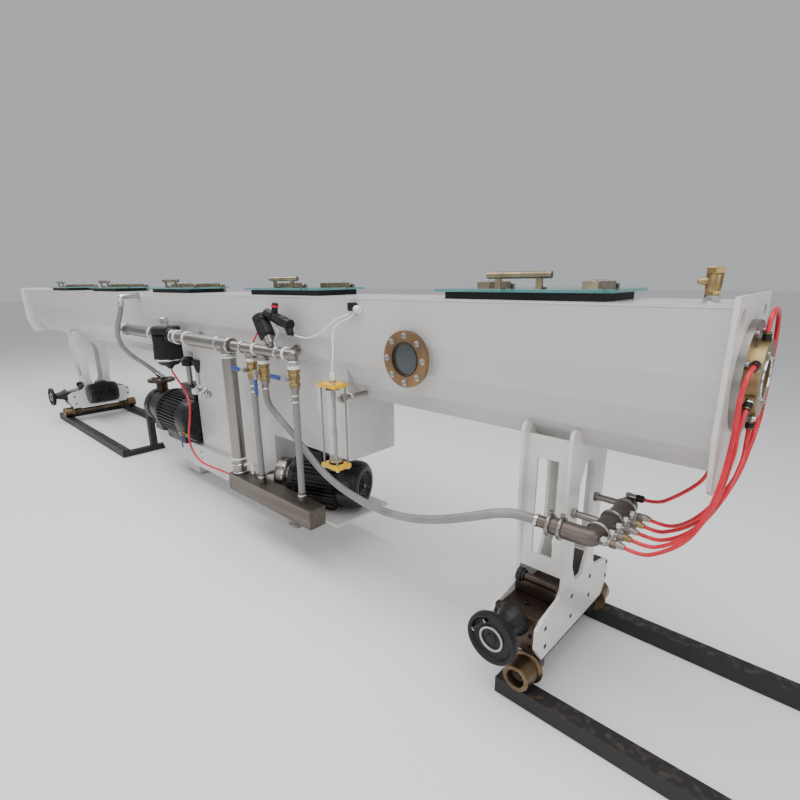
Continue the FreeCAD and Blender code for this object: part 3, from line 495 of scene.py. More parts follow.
# ---- end plates ----------------------------------------------------------------------
# Plates cut to the trough's shape and welded on, in off-white enamel, with two lifting
# holes each.
plate_enamel = Finish("plate_enamel", Coat_Weight=0.2, Coat_Roughness=0.15)
plate_marks = plate_enamel.noise(6.0, 6.0).between(0.45, 0.75)
plate_enamel.colours(plate_marks, (0.7, 0.685, 0.65), (0.58, 0.56, 0.525))
plate_enamel.show("Roughness", 0.26 + 0.16 * plate_marks)
plate_enamel.bump(plate_enamel.noise(120.0, 1.0), 0.0002)
coat(plate_enamel, "inlet_end_plate", "outlet_end_plate", "inlet_leg", "outlet_leg")
steel_screw = Finish("steel_screw", Base_Color=(0.42, 0.41, 0.4, 1), Metallic=1.0)
steel_screw.show("Roughness", 0.28 + 0.2 * steel_screw.noise(80.0))
black_screw = Finish("black_screw", Base_Color=(0.008, 0.008, 0.009, 1), Metallic=0.3)
black_screw.show("Roughness", 0.3 + 0.25 * black_screw.noise(120.0))

# ---- calibrator ----------------------------------------------------------------------
# A brass sizing ring screwed to a steel cover ring over the tank's inlet port. Five
# push-in fittings feed cooling water to its bore.
brass = Finish("brass", Metallic=1.0)
tarnish = brass.noise(14.0, 6.0).between(0.35, 0.75)
brass.colours(tarnish, (0.4, 0.29, 0.135), (0.19, 0.135, 0.066))
brass.show("Roughness", 0.26 + 0.22 * tarnish)
brass.bump(brass.noise(60.0, 2.0, (8.0, 1.0, 1.0)), 0.00015)
# Both stainless colours are set darker than bare steel. This is painted shade standing in for the
# shadow on the adapter ring, and every stainless part carries it.
stainless = Finish("stainless", Metallic=1.0)
grain = stainless.noise(55.0, 3.0, (0.05, 1.0, 1.0))
stainless.colours(stainless.noise(4.0, 4.0), (0.38, 0.36, 0.335), (0.2, 0.182, 0.165))
stainless.show("Roughness", 0.2 + 0.24 * grain)
stainless.bump(grain, 0.0001)
chrome = Finish("chrome", Base_Color=(0.6, 0.6, 0.6, 1), Metallic=1.0)
chrome.show("Roughness", 0.06 + 0.12 * chrome.noise(40.0))
coat(brass, "calibrator_ring")
coat(stainless, "inlet_adapter_ring")
black_moulding = Finish("black_moulding", Base_Color=(0.0065, 0.0068, 0.0075, 1),
                        Specular_IOR_Level=0.3)
black_moulding.show("Roughness", 0.34 + 0.2 * black_moulding.noise(60.0))
black_moulding.bump(black_moulding.noise(300.0), 0.0002)
calibrator_trim = Piece("calibrator_trim")
ring_face, bore_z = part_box("calibrator_ring")[1].x - inlet_face, 0.947
for spot in around(at(0.015, 0, bore_z), far, up, 0.108, 8, 0.5):
    calibrator_trim.screw(spot, forth, 0.0055, steel_screw)
for spot in around(at(ring_face, 0, bore_z), far, up, 0.068, 4, 0.35):
    calibrator_trim.screw(spot, forth, 0.0045, steel_screw)
calibrator_trim.turned(at(ring_face + 0.0002, 0, bore_z), forth, [
    (0, 0.05), (0.0025, 0.0495), (0.003, 0.047), (0, 0.0452)], chrome, 48)
for hose_name, (hose_length, hose_route) in red_runs.items():
    if hose_name in ("red_hose_6", "red_drain_hose"):
        continue
    mouth, inner = at(*hose_route[0]), at(*hose_route[1])
    outward = (inner - mouth).normalized()
    calibrator_trim.turned(mouth - outward * 0.014, outward, [
        (0, 0.0072), (0, 0.0088), (0.010, 0.0088), (0.0125, 0.0078), (0.0155, 0.0078),
        (0.0155, 0.0056)], black_moulding, 20)
    bore = Vector((mouth.x, centre_line, bore_z))
    reach = (mouth - bore).normalized()
    calibrator_trim.nut(bore + reach * 0.0855, reach, 0.0092, 0.010, chrome)
calibrator_trim.done("carriage", "stainless")

# ---- sight window --------------------------------------------------------------------
# A round glass held by a passivated clamp ring with eight screws.
passivated = Finish("passivated", Metallic=1.0)
rainbow = passivated.noise(9.0, 4.0).between(0.3, 0.7)
passivated.colours(rainbow, (0.4, 0.235, 0.115), (0.2, 0.135, 0.085))
passivated.show("Roughness", 0.25 + 0.2 * passivated.noise(50.0))
coat(passivated, "window_ring")
dark_glass = Finish("dark_glass", Base_Color=(0.05, 0.06, 0.06, 1), Coat_Weight=0.5)
dark_glass.show("Roughness", 0.03 + 0.08 * dark_glass.noise(12.0))
coat(dark_glass, "window_glass")
window_trim = Piece("window_trim")
window_low, window_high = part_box("window_ring")
window_spot = (window_low + window_high) / 2
window_spot.y = window_low.y
for spot in around(window_spot, forth, up, 0.075, 8):
    window_trim.washer(spot, near, 0.0105, 0.0015, chrome, 16)
    window_trim.screw(spot + near * 0.0015, near, 0.0062, steel_screw)
window_trim.turned(window_spot + far * 0.0005, near, [
    (0, 0.055), (0.002, 0.0545), (0.002, 0.0515), (-0.004, 0.0502)], black_moulding, 48)
window_trim.done("carriage", "yellow_zinc")

# ---- relief valve, vacuum bend and nipple --------------------------------------------
# A brass relief valve with a six-sided cap and a side horn stands on the deck. A chromed
# bend comes out of the tank's side for the suction hose, and a nipple hangs under the tank.
tank_trim = Piece("relief_valve_and_bend")
relief = at(-0.078, -0.040, 1.1075)
tank_trim.turned(relief, up, [
    (0, 0.017), (0.013, 0.017), (0.013, 0.0155), (0.016, 0.0155)], chrome, 28)
tank_trim.nut(relief + up * 0.003, up, 0.0195, 0.010, chrome)
tank_trim.nut(relief + up * 0.016, up, 0.0175, 0.010, brass)
tank_trim.turned(relief, up, [
    (0.025, 0.0145), (0.030, 0.0155), (0.050, 0.0165), (0.060, 0.0165), (0.062, 0.014)], brass, 32)
tank_trim.nut(relief + up * 0.061, up, 0.0195, 0.015, brass)
tank_trim.turned(relief + Vector((-0.012, -0.006, 0.046)), (-0.9, -0.43, -0.05), [
    (0, 0.009), (0.010, 0.0085), (0.018, 0.005), (0.018, 0.003), (0.012, 0.003), (0.012, 0)],
    brass, 20)
tank_trim.bent([
    at(-3.052, -0.149, 1.087), at(-3.052, -0.255, 1.087), at(-3.052, -0.255, 1.046)], 0.0152,
    chrome, 20)
tank_trim.turned(at(-3.052, -0.1495, 1.087), near, [
    (0, 0), (0, 0.024), (0.006, 0.024), (0.008, 0.017)], chrome)
tank_trim.turned(at(-3.052, -0.252, 1.060), (-0.0002, -0.0217, -0.1), [
    (0, 0.0155), (0.002, 0.0175), (0.014, 0.0175), (0.016, 0.0165), (0.030, 0.0165),
    (0.031, 0.0142)], chrome, 24)
tank_trim.turned(at(-0.036, 0.022, 0.726), down, [
    (0, 0.011), (0.006, 0.011), (0.006, 0.007), (0.014, 0.007)], chrome, 16)
tank_trim.turned(at(-0.038, 0.028, 0.704), (0.4, -0.6, 1.0), [
    (-0.002, 0.0056), (-0.002, 0.008), (0.011, 0.008), (0.012, 0.006)], black_moulding, 16)
tank_trim.done("carriage", "brass", "tank_fittings")

# ---- lids ----------------------------------------------------------------------------
# Thick glass plates with sea-green edges lie on black rubber frames. Bronzed clamps and
# a round handle bar are glued and screwed to each, and they hinge along the far side.
rubber = Finish("rubber", Roughness=0.6, Specular_IOR_Level=0.3)
rubber.colours(rubber.noise(8.0, 5.0).between(0.4, 0.8), (0.008, 0.008, 0.009),
               (0.022, 0.022, 0.023))
rubber.bump(rubber.noise(220.0), 0.0004)
coat(rubber, "lid_gaskets", "outlet_seal_disc")
lid_glass = Finish("lid_glass", Base_Color=(0.07, 0.3, 0.29, 1), Coat_Weight=0.6,
                   Coat_Roughness=0.03)
lid_glass.show("Roughness", 0.03 + 0.1 * lid_glass.noise(7.0, 4.0))
lid_glass.show("Alpha", 0.5 + 0.14 * lid_glass.noise(5.0, 3.0))
lids = range(1, 6)
coat(lid_glass, *["lid_glass_%d" % number for number in lids])
lid_bronze = Finish("lid_bronze", Metallic=1.0)
lid_wear = lid_bronze.noise(20.0, 5.0).between(0.35, 0.7)
lid_bronze.colours(lid_wear, (0.36, 0.3, 0.2), (0.2, 0.162, 0.11))
lid_bronze.show("Roughness", 0.22 + 0.2 * lid_wear)
coat(lid_bronze, *["lid_fittings_%d" % number for number in lids])
coat(stainless, "lid_hinge_brackets")
for number in lids:
    glass_low, glass_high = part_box("lid_glass_%d" % number)
    middle_x = (glass_low.x + glass_high.x) / 2
    trim = Piece("lid_trim_%d" % number)
    for side in (-1, 1):
        for along_y in (0.012, 0.05, 0.092):
            spot = Vector((middle_x + side * 0.164, centre_line + along_y, glass_high.z + 0.018))
            trim.washer(spot, up, 0.0085, 0.001, chrome, 14)
            trim.screw(spot + up * 0.001, up, 0.005, steel_screw)
        trim.screw(Vector((middle_x + side * 0.062, centre_line - 0.076, glass_high.z + 0.005)),
                   up, 0.0045, steel_screw)
        end = Vector((middle_x + side * 0.0935, centre_line - 0.09, glass_high.z + 0.0365))
        trim.turned(end, (side, 0, 0), [
            (0, 0.0095), (0.003, 0.0088), (0.0045, 0.005), (0.0048, 0)], lid_bronze, 20)
    trim.done("lid_%d" % number, "lid_metal")

# ---- legs ----------------------------------------------------------------------------
# Two cut plates to each leg, welded to webs and bolted to the lift block through their
# toes with black socket screws.
leg_fronts = {"inlet": -0.320, "outlet": -4.700}
leg_long = 0.150
toe_screws = [(-0.198, 0.221), (-0.192, 0.159), (-0.029, 0.169), (-0.035, 0.242),
              (0.099, 0.178), (0.094, 0.249), (0.232, 0.237), (0.232, 0.186)]
leg_screws = Piece("leg_screws")
for front in leg_fronts.values():
    for face, way in ((front, 1), (front - leg_long, -1)):
        for y, z in toe_screws:
            leg_screws.turned(at(face, y, z), (way, 0, 0), [
                (0, 0.0076), (0.0009, 0.0074), (0.0009, 0.0040), (0.0001, 0.0036), (0.0001, 0)],
                black_screw, 14)
leg_screws.done("carriage", "black_steel")

# ---- lift blocks ---------------------------------------------------------------------
# Machined blocks, chemically browned and oiled. A front plate carries the black cone of
# the lifting screw, and a tie bar with a thrust collar crosses over the sliding plate.
browned = Finish("browned", Metallic=0.85)
oil = browned.noise(7.0, 5.0).between(0.35, 0.75)
browned.colours(oil, (0.085, 0.06, 0.044), (0.032, 0.023, 0.018))
browned.show("Roughness", 0.34 + 0.22 * oil)
browned.bump(browned.noise(160.0, 2.0), 0.0003)
black_enamel = Finish("black_enamel", Specular_IOR_Level=0.35)
black_grime = black_enamel.noise(26.0, 5.0).between(0.45, 0.8)
black_enamel.colours(black_grime, (0.006, 0.006, 0.007), (0.02, 0.019, 0.018))
black_enamel.show("Roughness", 0.26 + 0.25 * black_grime)
black_enamel.bump(black_enamel.noise(180.0), 0.0003)
lift_screw = -0.080, 0.235
tie_bar = -0.115, 0.300
for end_name, front in leg_fronts.items():
    block = Piece(end_name + "_lift")
    rear, face = front - 0.140, front - 0.010
    bottom, top_face, plate_top = 0.150, 0.241, 0.250
    block.block(at(rear, -0.218, bottom), at(face, 0.238, top_face), browned, 0.003)
    for low, high in ((-0.214, -0.128), (-0.102, 0.232)):
        block.block(at(rear + 0.004, low, top_face), at(face - 0.004, high, plate_top), browned)
    block.block(at(rear, -0.238, bottom), at(face, -0.219, 0.262), browned)
    block.block(at(rear, -0.127, top_face), at(face, -0.103, 0.292), browned, 0.004)
    for low, high in ((-0.200, -0.160), (0.160, 0.200)):
        block.block(at(front - 0.060, low, 0.066), at(face, high, 0.151), browned, 0.004)
    block.bar(at(rear, *tie_bar), at(face, *tie_bar), 0.012, browned)
    block.turned(at(rear + 0.004, *tie_bar), forth, [
        (0, 0.012), (0, 0.022), (0.014, 0.022), (0.014, 0.018), (0.022, 0.018), (0.022, 0.012)],
        black_enamel, 32)
    block.turned(at(front + lift_screw[0], -0.238, lift_screw[1]), near, [
        (0, 0.050), (0.006, 0.049), (0.030, 0.038), (0.062, 0.029), (0.078, 0.0262),
        (0.080, 0.024), (0.080, 0.009), (0.094, 0.009), (0.094, 0)], black_enamel, 40)
    for x in (rear + 0.014, face - 0.014):
        for z in (0.168, 0.205):
            block.screw(at(x, -0.238, z), near, 0.0055, black_screw)
    block.screw(at(front - 0.075, -0.168, plate_top), up, 0.008, black_screw)
    block.bar(at(front - 0.018, -0.212, bottom), at(front - 0.012, -0.212, 0.128), 0.006,
              black_screw)
    block.done("carriage", "bronzed_steel", end_name + "_lift_block")

# ---- handwheels ----------------------------------------------------------------------
# Moulded black wheels with a bright inlaid ring and a grip that folds into the dish.
grip_lean = math.radians(38)
bright_ring = Finish("bright_ring", Base_Color=(0.4, 0.4, 0.41, 1), Metallic=0.9)
bright_ring.show("Roughness", 0.22 + 0.2 * bright_ring.noise(70.0))
for end_name, front in leg_fronts.items():
    wheel = Piece(end_name + "_handwheel_moulding")
    hub = at(front + lift_screw[0], -0.319, lift_screw[1])
    wheel.turned(hub, near, [
        (0, 0.0093), (0, 0.026), (0.002, 0.028), (0.010, 0.029), (0.011, 0.066), (0.013, 0.072),
        (0.018, 0.075), (0.030, 0.075), (0.036, 0.0735), (0.038, 0.070), (0.0375, 0.064),
        (0.034, 0.0605), (0.0295, 0.058), (0.029, 0.038), (0.031, 0.037)], black_moulding, 64)
    wheel.turned(hub, near, [
        (0.031, 0.037), (0.0335, 0.036), (0.0335, 0.0305), (0.031, 0.0295)], bright_ring, 64)
    wheel.turned(hub, near, [
        (0.031, 0.0295), (0.029, 0.0285), (0.029, 0.016), (0.033, 0.013), (0.034, 0.006),
        (0.034, 0)], black_moulding, 48)
    swing = Matrix.Rotation(grip_lean, 3, "Y")
    grip, grip_way = hub + swing @ Vector((-0.046, -0.0335, 0)), swing @ up
    wheel.bar(grip - grip_way * 0.030, grip + grip_way * 0.031, 0.0062, black_moulding)
    for height in (-0.030, 0.026):
        wheel.ring(grip + grip_way * height, grip_way, 0.0055, 0.0067, 0.004, bright_ring, 20)
    wheel.done(end_name + "_handwheel", "black_plastic", end_name + "_handwheel")

# ---- wheel sets ----------------------------------------------------------------------
# Flanged wheels turned from gun-metal, hollow in front, on one plain axle. The gun-metal's
# tone and roughness vary at random.
gunmetal = Finish("gunmetal", Metallic=0.95)
gunmetal_wear = gunmetal.noise(11.0, 5.0).between(0.35, 0.7)
gunmetal.colours(gunmetal_wear, (0.26, 0.18, 0.095), (0.09, 0.062, 0.042))
gunmetal.show("Roughness", 0.24 + 0.24 * gunmetal_wear)
for end_name, front in leg_fronts.items():
    wheelset = Piece(end_name + "_wheels")
    axle = at(front - 0.035, 0, 0.090)
    wheelset.bar(axle + near * 0.272, axle + far * 0.272, 0.016, gunmetal, 32)
    for side in (-1, 1):
        wheelset.turned(axle + far * side * 0.2925, (0, -side, 0), [
            (0.024, 0), (0.024, 0.022), (0.004, 0.026), (0.002, 0.029), (0.002, 0.0365),
            (0.005, 0.0393), (0.062, 0.0397), (0.064, 0.048), (0.066, 0.050), (0.070, 0.050),
            (0.072, 0.048), (0.072, 0.024), (0.086, 0.023), (0.088, 0.0158)], gunmetal, 64)
        wheelset.nut(axle + far * side * 0.2685, (0, side, 0), 0.011, 0.008, black_screw)
    wheelset.done(end_name + "_wheelset", "bronzed_steel", end_name + "_wheelset")

# ---- travel motor --------------------------------------------------------------------
# A finned electric motor with its gearbox bolted to the outlet leg drives the tank's
# travel. Cast housings in black enamel.
travel = Piece("travel_drive")
travel.block(at(-4.700, -0.070, 0.195), at(-4.640, 0.070, 0.275), black_enamel, 0.008)
shaft_line = at(-4.595, 0, 0.245)
travel.turned(shaft_line + near * 0.120, far, [
    (0, 0), (0, 0.030), (0.003, 0.050), (0.004, 0.078), (0.010, 0.083), (0.034, 0.084),
    (0.036, 0.080)], black_enamel, 48)
travel.turned(shaft_line + near * 0.086, far, [
    (0, 0.070), (0.001, 0.085), (0.160, 0.085), (0.161, 0.070)], black_enamel, teeth=(30, 0.007))
travel.turned(shaft_line + far * 0.074, far, [
    (0, 0.070), (0, 0.084), (0.026, 0.083), (0.034, 0.074), (0.036, 0.030), (0.036, 0)],
    black_enamel, 48)
travel.block(at(-4.640, -0.045, 0.308), at(-4.560, 0.035, 0.345), black_enamel, 0.006)
for y in (-0.055, 0.055):
    travel.screw(at(-4.6405, y, 0.262), up, 0.006, steel_screw)
travel.done("carriage", "black_paint", "travel_motor")

# ---- base tray and water box ---------------------------------------------------------
# The sheet tray under the pumps and the closed water box above it, in grey enamel. A
# small plastic scale is stuck to the box beside the level gauge.
box_enamel = Finish("box_enamel", Coat_Weight=0.15)
box_dirt = box_enamel.noise(4.5, 6.0).between(0.42, 0.78)
box_enamel.colours(box_dirt, (0.56, 0.548, 0.528), (0.44, 0.425, 0.4))
box_enamel.show("Roughness", 0.3 + 0.2 * box_dirt)
box_enamel.bump(box_enamel.noise(110.0, 1.0), 0.0002)
coat(box_enamel, "base_tray", "water_box")
white_plastic = Finish("white_plastic", Roughness=0.4)
white_plastic.colours(white_plastic.noise(30.0, 4.0), (0.82, 0.81, 0.78), (0.66, 0.64, 0.6))
box_trim = Piece("box_trim")
box_trim.block(at(-1.396, -0.128, 0.648), at(-1.368, -0.125, 0.762), white_plastic, 0.001)
for mark in range(21):
    width = 0.013 if mark % 5 == 0 else 0.007
    box_trim.block(at(-1.394, -0.1284, 0.6535 + mark * 0.005),
                   at(-1.394 + width, -0.1278, 0.6543 + mark * 0.005), black_moulding, 0.0001)
for x, low in ((-2.469, 0.27), (-1.731, 0.27), (-1.201, 0.484)):
    box_trim.bent([at(x, -0.1243, low), at(x, -0.1243, 0.785)], 0.0016, box_enamel, 8)
box_trim.bent([at(-1.73, -0.124, 0.4815), at(-1.202, -0.124, 0.4815)], 0.0016, box_enamel, 8)
for x in (-2.46, -1.76):
    for step in range(3):
        box_trim.screw(at(x, -0.150, 0.160 + step * 0.035), near, 0.005, steel_screw)
box_trim.done("carriage", "box_paint")

# ---- circulation pump ----------------------------------------------------------------
# A pressed stainless pump head on a black finned motor, standing on the shelf with its
# shaft turned out from the tank. A bent tube joins its eye to the square manifold.
pump_turn = math.radians(20.7)
pump_eye = at(-1.697, -0.121, 0.300)
pump_way = Vector((math.cos(pump_turn), math.sin(pump_turn), 0))
head = Piece("pump_casing")
head.turned(pump_eye, pump_way, [
    (0.010, 0), (0.010, 0.018), (0.002, 0.020), (0, 0.024), (0, 0.060), (0.002, 0.066),
    (0.006, 0.0735), (0.012, 0.074), (0.046, 0.074), (0.055, 0.070), (0.055, 0.058),
    (0.095, 0.058)], stainless, 56)
head.turned(pump_eye, pump_way, [
    (0.044, 0.0735), (0.044, 0.0765), (0.052, 0.0765), (0.052, 0.072)], chrome, 56)
for spot in around(pump_eye + pump_way * 0.004, up, pump_way.cross(up), 0.067, 8):
    head.screw(spot, -pump_way, 0.0042, steel_screw)
head.bent([
    at(-1.684, -0.222, 0.312), at(-1.712, -0.196, 0.312), at(-1.722, -0.150, 0.306),
    pump_eye - pump_way * 0.012, pump_eye + pump_way * 0.012], 0.0085, chrome, 16)
head.done("carriage", "stainless", "pump_head")
drive = Piece("pump_drive")
drive.turned(pump_eye + pump_way * 0.095, pump_way, [
    (0, 0.050), (0, 0.100), (0.004, 0.104), (0.026, 0.104), (0.030, 0.100), (0.030, 0.090)],
    black_enamel, 56)
drive.turned(pump_eye + pump_way * 0.123, pump_way, [
    (0, 0.090), (0.004, 0.111), (0.214, 0.111), (0.218, 0.090)], black_enamel, teeth=(38, 0.010))
drive.turned(pump_eye + pump_way * 0.338, pump_way, [
    (0, 0.090), (0, 0.104), (0.004, 0.106), (0.060, 0.106), (0.080, 0.101), (0.091, 0.090),
    (0.095, 0.078), (0.094, 0.070)], black_enamel, 56)
for inner, outer in ((0.0, 0.012), (0.022, 0.026), (0.036, 0.040), (0.050, 0.054), (0.064, 0.071)):
    drive.turned(pump_eye + pump_way * 0.429, pump_way, [
        (0, inner), (0.004, inner), (0.005, outer), (0.001, outer)], black_enamel, 40)
drive.turned(pump_eye + pump_way * 0.424, pump_way, [(0, 0), (0, 0.072)], black_moulding, 40)
guard = pump_eye + pump_way * 0.431
for rim in around(guard, up, pump_way.cross(up), 0.070, 6):
    drive.bar(guard.lerp(rim, 1 / 7), rim, 0.0022, black_enamel, 8)
pump_pose = Matrix.Translation(pump_eye) @ Matrix.Rotation(pump_turn, 4, "Z")
drive.block((0.150, -0.065, -0.116), (0.310, 0.065, -0.088), black_enamel, 0.006, pump_pose)
drive.block((0.145, -0.050, 0.060), (0.255, 0.050, 0.140), black_enamel, 0.008, pump_pose)
drive.block((0.142, -0.053, 0.136), (0.258, 0.053, 0.150), black_enamel, 0.005, pump_pose)
for x in (0.152, 0.248):
    for y in (-0.043, 0.043):
        drive.screw(pump_pose @ Vector((x, y, 0.150)), up, 0.004, steel_screw)
drive.nut(pump_pose @ Vector((0.2, -0.05, 0.100)), -(pump_pose.to_3x3() @ far), 0.011, 0.022,
          black_moulding)
drive.done("carriage", "black_paint", "pump_motor")

# ---- drain elbow ---------------------------------------------------------------------
# A stainless elbow with a hexagon union hangs under the square manifold.
elbow = Piece("drain_plug")
elbow.bent([
    at(-1.470, -0.225, 0.206), at(-1.470, -0.225, 0.150), at(-1.470, -0.160, 0.150)], 0.0242,
    stainless, 20)
elbow.nut(at(-1.470, -0.166, 0.150), far, 0.030, 0.014, stainless)
elbow.done("carriage", "stainless")

# ---- vacuum pump ---------------------------------------------------------------------
# A liquid-ring vacuum pump. The cast head has a dark flange for the suction hose, and
# the black finned motor has deep end rings. A stainless riser, a ball valve and a cone
# silencer stand above it.
riser_y, branch_z = -0.118, 0.585
vacuum = Piece("vacuum_unit")
vacuum_eye = at(-3.105, -0.095, 0.403)
vacuum.turned(vacuum_eye, forth, [
    (0, 0), (0, 0.060), (0.006, 0.096), (0.014, 0.106), (0.060, 0.106), (0.064, 0.100),
    (0.110, 0.100), (0.114, 0.106), (0.190, 0.106), (0.200, 0.098), (0.200, 0.080),
    (0.240, 0.080)], black_enamel, 56)
vacuum.turned(vacuum_eye + forth * 0.240, forth, [
    (0, 0.080), (0, 0.124), (0.006, 0.134), (0.030, 0.134), (0.034, 0.118)], black_enamel, 64)
vacuum.turned(vacuum_eye + forth * 0.272, forth, [
    (0, 0.115), (0.003, 0.132), (0.246, 0.132), (0.249, 0.115)], black_enamel, teeth=(42, 0.012))
vacuum.turned(vacuum_eye + forth * 0.520, forth, [
    (0, 0.118), (0.003, 0.134), (0.080, 0.134), (0.100, 0.128), (0.109, 0.112), (0.110, 0.090),
    (0.106, 0.086), (0.106, 0)], black_enamel, 64)
for low, high, half in ((-3.040, -2.930, 0.070), (-2.800, -2.560, 0.095)):
    for foot_y in (-0.095 - half, min(-0.095 + half, 0.13) - 0.030):
        vacuum.block(at(low, foot_y, 0.265), at(high, foot_y + 0.030, 0.330), black_enamel, 0.005)
vacuum.block(at(-2.650, -0.140, 0.520), at(-2.490, -0.050, 0.594), black_enamel, 0.008)
vacuum.block(at(-2.653, -0.143, 0.590), at(-2.487, -0.047, 0.606), black_enamel, 0.005)
vacuum.turned(at(-3.030, -0.095, 0.480), up, [
    (0, 0.034), (0.070, 0.034), (0.074, 0.046), (0.080, 0.080), (0.082, 0.082), (0.094, 0.082),
    (0.096, 0.078), (0.096, 0.030), (0.104, 0.022), (0.104, 0)], browned, 48)
for spot in around(at(-3.030, -0.095, 0.576), forth, far, 0.062, 6, 0.5):
    vacuum.nut(spot, up, 0.009, 0.007, steel_screw)
hose_end = at(-3.044, -0.112, 0.614)
hose_way = (at(-3.062, -0.160, 0.668) - hose_end).normalized()
vacuum.turned(hose_end - hose_way * 0.046, hose_way, [
    (0, 0.0), (0, 0.020), (0.014, 0.020), (0.016, 0.016), (0.030, 0.016), (0.030, 0.0175),
    (0.042, 0.0175), (0.042, 0.0152), (0.052, 0.0152), (0.052, 0.0142)], chrome, 24)
vacuum.bar(at(-2.560, riser_y, 0.600), at(-2.560, riser_y, 0.718), 0.015, stainless)
vacuum.turned(at(-2.560, riser_y, 0.712), up, [
    (0, 0.014), (0.002, 0.033), (0.008, 0.036), (0.036, 0.036), (0.046, 0.028), (0.052, 0.014),
    (0.053, 0)], black_moulding, 40)
vacuum.bar(at(-2.495, riser_y, branch_z), at(-2.310, riser_y, branch_z), 0.0165, stainless)
vacuum.nut(at(-2.492, riser_y, branch_z), forth, 0.023, 0.022, chrome)
vacuum.nut(at(-2.412, riser_y, branch_z), forth, 0.024, 0.020, chrome)
vacuum.turned(at(-2.392, riser_y, branch_z), forth, [
    (0, 0.016), (0.003, 0.026), (0.012, 0.032), (0.022, 0.032), (0.031, 0.026), (0.034, 0.016)],
    chrome, 32)
vacuum.nut(at(-2.354, riser_y, branch_z), forth, 0.024, 0.020, chrome)
vacuum.turned(at(-2.375, -0.146, branch_z), near, [
    (0, 0.012), (0.008, 0.012), (0.010, 0.010), (0.010, 0)], chrome, 20)
vacuum.turned(at(-2.316, riser_y, branch_z), forth, [
    (0, 0.016), (0, 0.020), (0.006, 0.020), (0.006, 0.014), (0.003, 0.013)], chrome, 24)
vacuum.bar(at(-2.430, riser_y, 0.590), at(-2.430, riser_y, 0.692), 0.012, stainless)
vacuum.nut(at(-2.430, riser_y, 0.606), up, 0.019, 0.016, white_plastic)
vacuum.turned(at(-2.430, riser_y, 0.688), up, [
    (0, 0.012), (0.001, 0.016), (0.058, 0.034), (0.066, 0.035), (0.072, 0.032), (0.072, 0)],
    black_moulding, 40)
vacuum.block(at(-2.470, -0.160, 0.570), at(-2.432, -0.132, 0.600), white_plastic, 0.004)
vacuum.bar(at(-2.560, -0.215, 0.345), at(-2.450, -0.215, 0.345), 0.010, brass)
vacuum.nut(at(-2.520, -0.215, 0.345), forth, 0.016, 0.030, brass)
vacuum.bar(at(-2.545, -0.215, 0.345), at(-2.545, -0.150, 0.345), 0.011, brass)
vacuum.done("carriage", "black_paint", "vacuum_pump")

# ---- drain lever ---------------------------------------------------------------------
# A thin steel lever dipped in blue vinyl, screwed to the vacuum pump's brass drain valve.
blue_vinyl = Finish("blue_vinyl")
blue_vinyl.colours(blue_vinyl.noise(40.0, 4.0), (0.02, 0.06, 0.3), (0.012, 0.03, 0.16))
blue_vinyl.show("Roughness", 0.35 + 0.2 * blue_vinyl.noise(90.0))
blue_vinyl.bump(blue_vinyl.noise(260.0), 0.0003)
drain_lever = Piece("drain_lever")
drain_lever.block(at(-2.512, -0.236, 0.270), at(-2.498, -0.230, 0.352), blue_vinyl, 0.003)
drain_lever.nut(at(-2.505, -0.229, 0.345), near, 0.007, 0.009, steel_screw)
drain_lever.done("carriage", "blue_grip")

# ---- water pipework ------------------------------------------------------------------
# Bent and welded stainless tube. Clamped joints show as bright ferrules with white
# sealing tape, and the square manifold below is a welded box section.
header_y, header_z = -0.235, 0.895
valve_places = -1.684, -1.593, -1.385


def on_header(x, z=header_z):
    return at(x, header_y, z)


coat(stainless, "main_pipe")
dull_steel = Finish("dull_steel", Metallic=0.9)
brushed = dull_steel.noise(48.0, 3.0, (0.06, 1.0, 1.0))
dull_steel.colours(brushed, (0.2, 0.172, 0.148), (0.085, 0.07, 0.06))
dull_steel.show("Roughness", 0.32 + 0.22 * brushed)
dull_steel.bump(brushed, 0.00015)
coat(dull_steel, "square_manifold")
pipe_trim = Piece("pipe_trim")


def ferrule(piece, spot, along, radius, finish, length=0.014, proud=0.005):
    piece.turned(spot - along * (length / 2), along, [
        (0, radius - 0.001), (0.001, radius + proud * 0.7), (length * 0.3, radius + proud),
        (length * 0.7, radius + proud), (length - 0.001, radius + proud * 0.7),
        (length, radius - 0.001)], finish, 40)


for x, radius, finish in ((-2.420, 0.031, chrome), (-2.368, 0.031, white_plastic),
                          (-2.262, 0.031, white_plastic), (-1.946, 0.031, chrome),
                          (-1.842, 0.031, chrome), (-1.745, 0.022, chrome),
                          (-1.640, 0.022, white_plastic), (-1.480, 0.022, chrome),
                          (-1.425, 0.022, white_plastic), (-2.690, 0.031, white_plastic),
                          (-3.086, 0.031, chrome)):
    ferrule(pipe_trim, on_header(x), forth, radius, finish)
for z, radius, finish in ((0.852, 0.032, chrome), (0.842, 0.032, white_plastic),
                          (0.362, 0.032, white_plastic), (0.336, 0.032, chrome),
                          (0.296, 0.032, chrome)):
    ferrule(pipe_trim, on_header(-1.875, z), up, radius, finish, 0.009)
pipe_trim.turned(on_header(-3.090), -forth, [
    (0, 0.031), (0.006, 0.028), (0.010, 0.018), (0.011, 0)], stainless, 40)
pipe_trim.turned(on_header(-1.385), forth, [
    (0, 0.022), (0.012, 0.019), (0.020, 0.010), (0.021, 0)], stainless, 32)
for x, finish in zip(valve_places, (stainless, stainless, chrome)):
    pipe_trim.nut(on_header(x, 0.872), down, 0.026, 0.018, finish)
for x in (-2.300, -1.480):
    ferrule(pipe_trim, at(x, -0.150, 0.895), far, 0.012, stainless, 0.008, 0.010)
for x in (valve_places[0], valve_places[2]):
    for z in (0.318, 0.712):
        ferrule(pipe_trim, on_header(x, z), up, 0.0155, chrome, 0.010, 0.003)
        pipe_trim.nut(on_header(x - 0.020, z), forth, 0.006, 0.012, chrome)
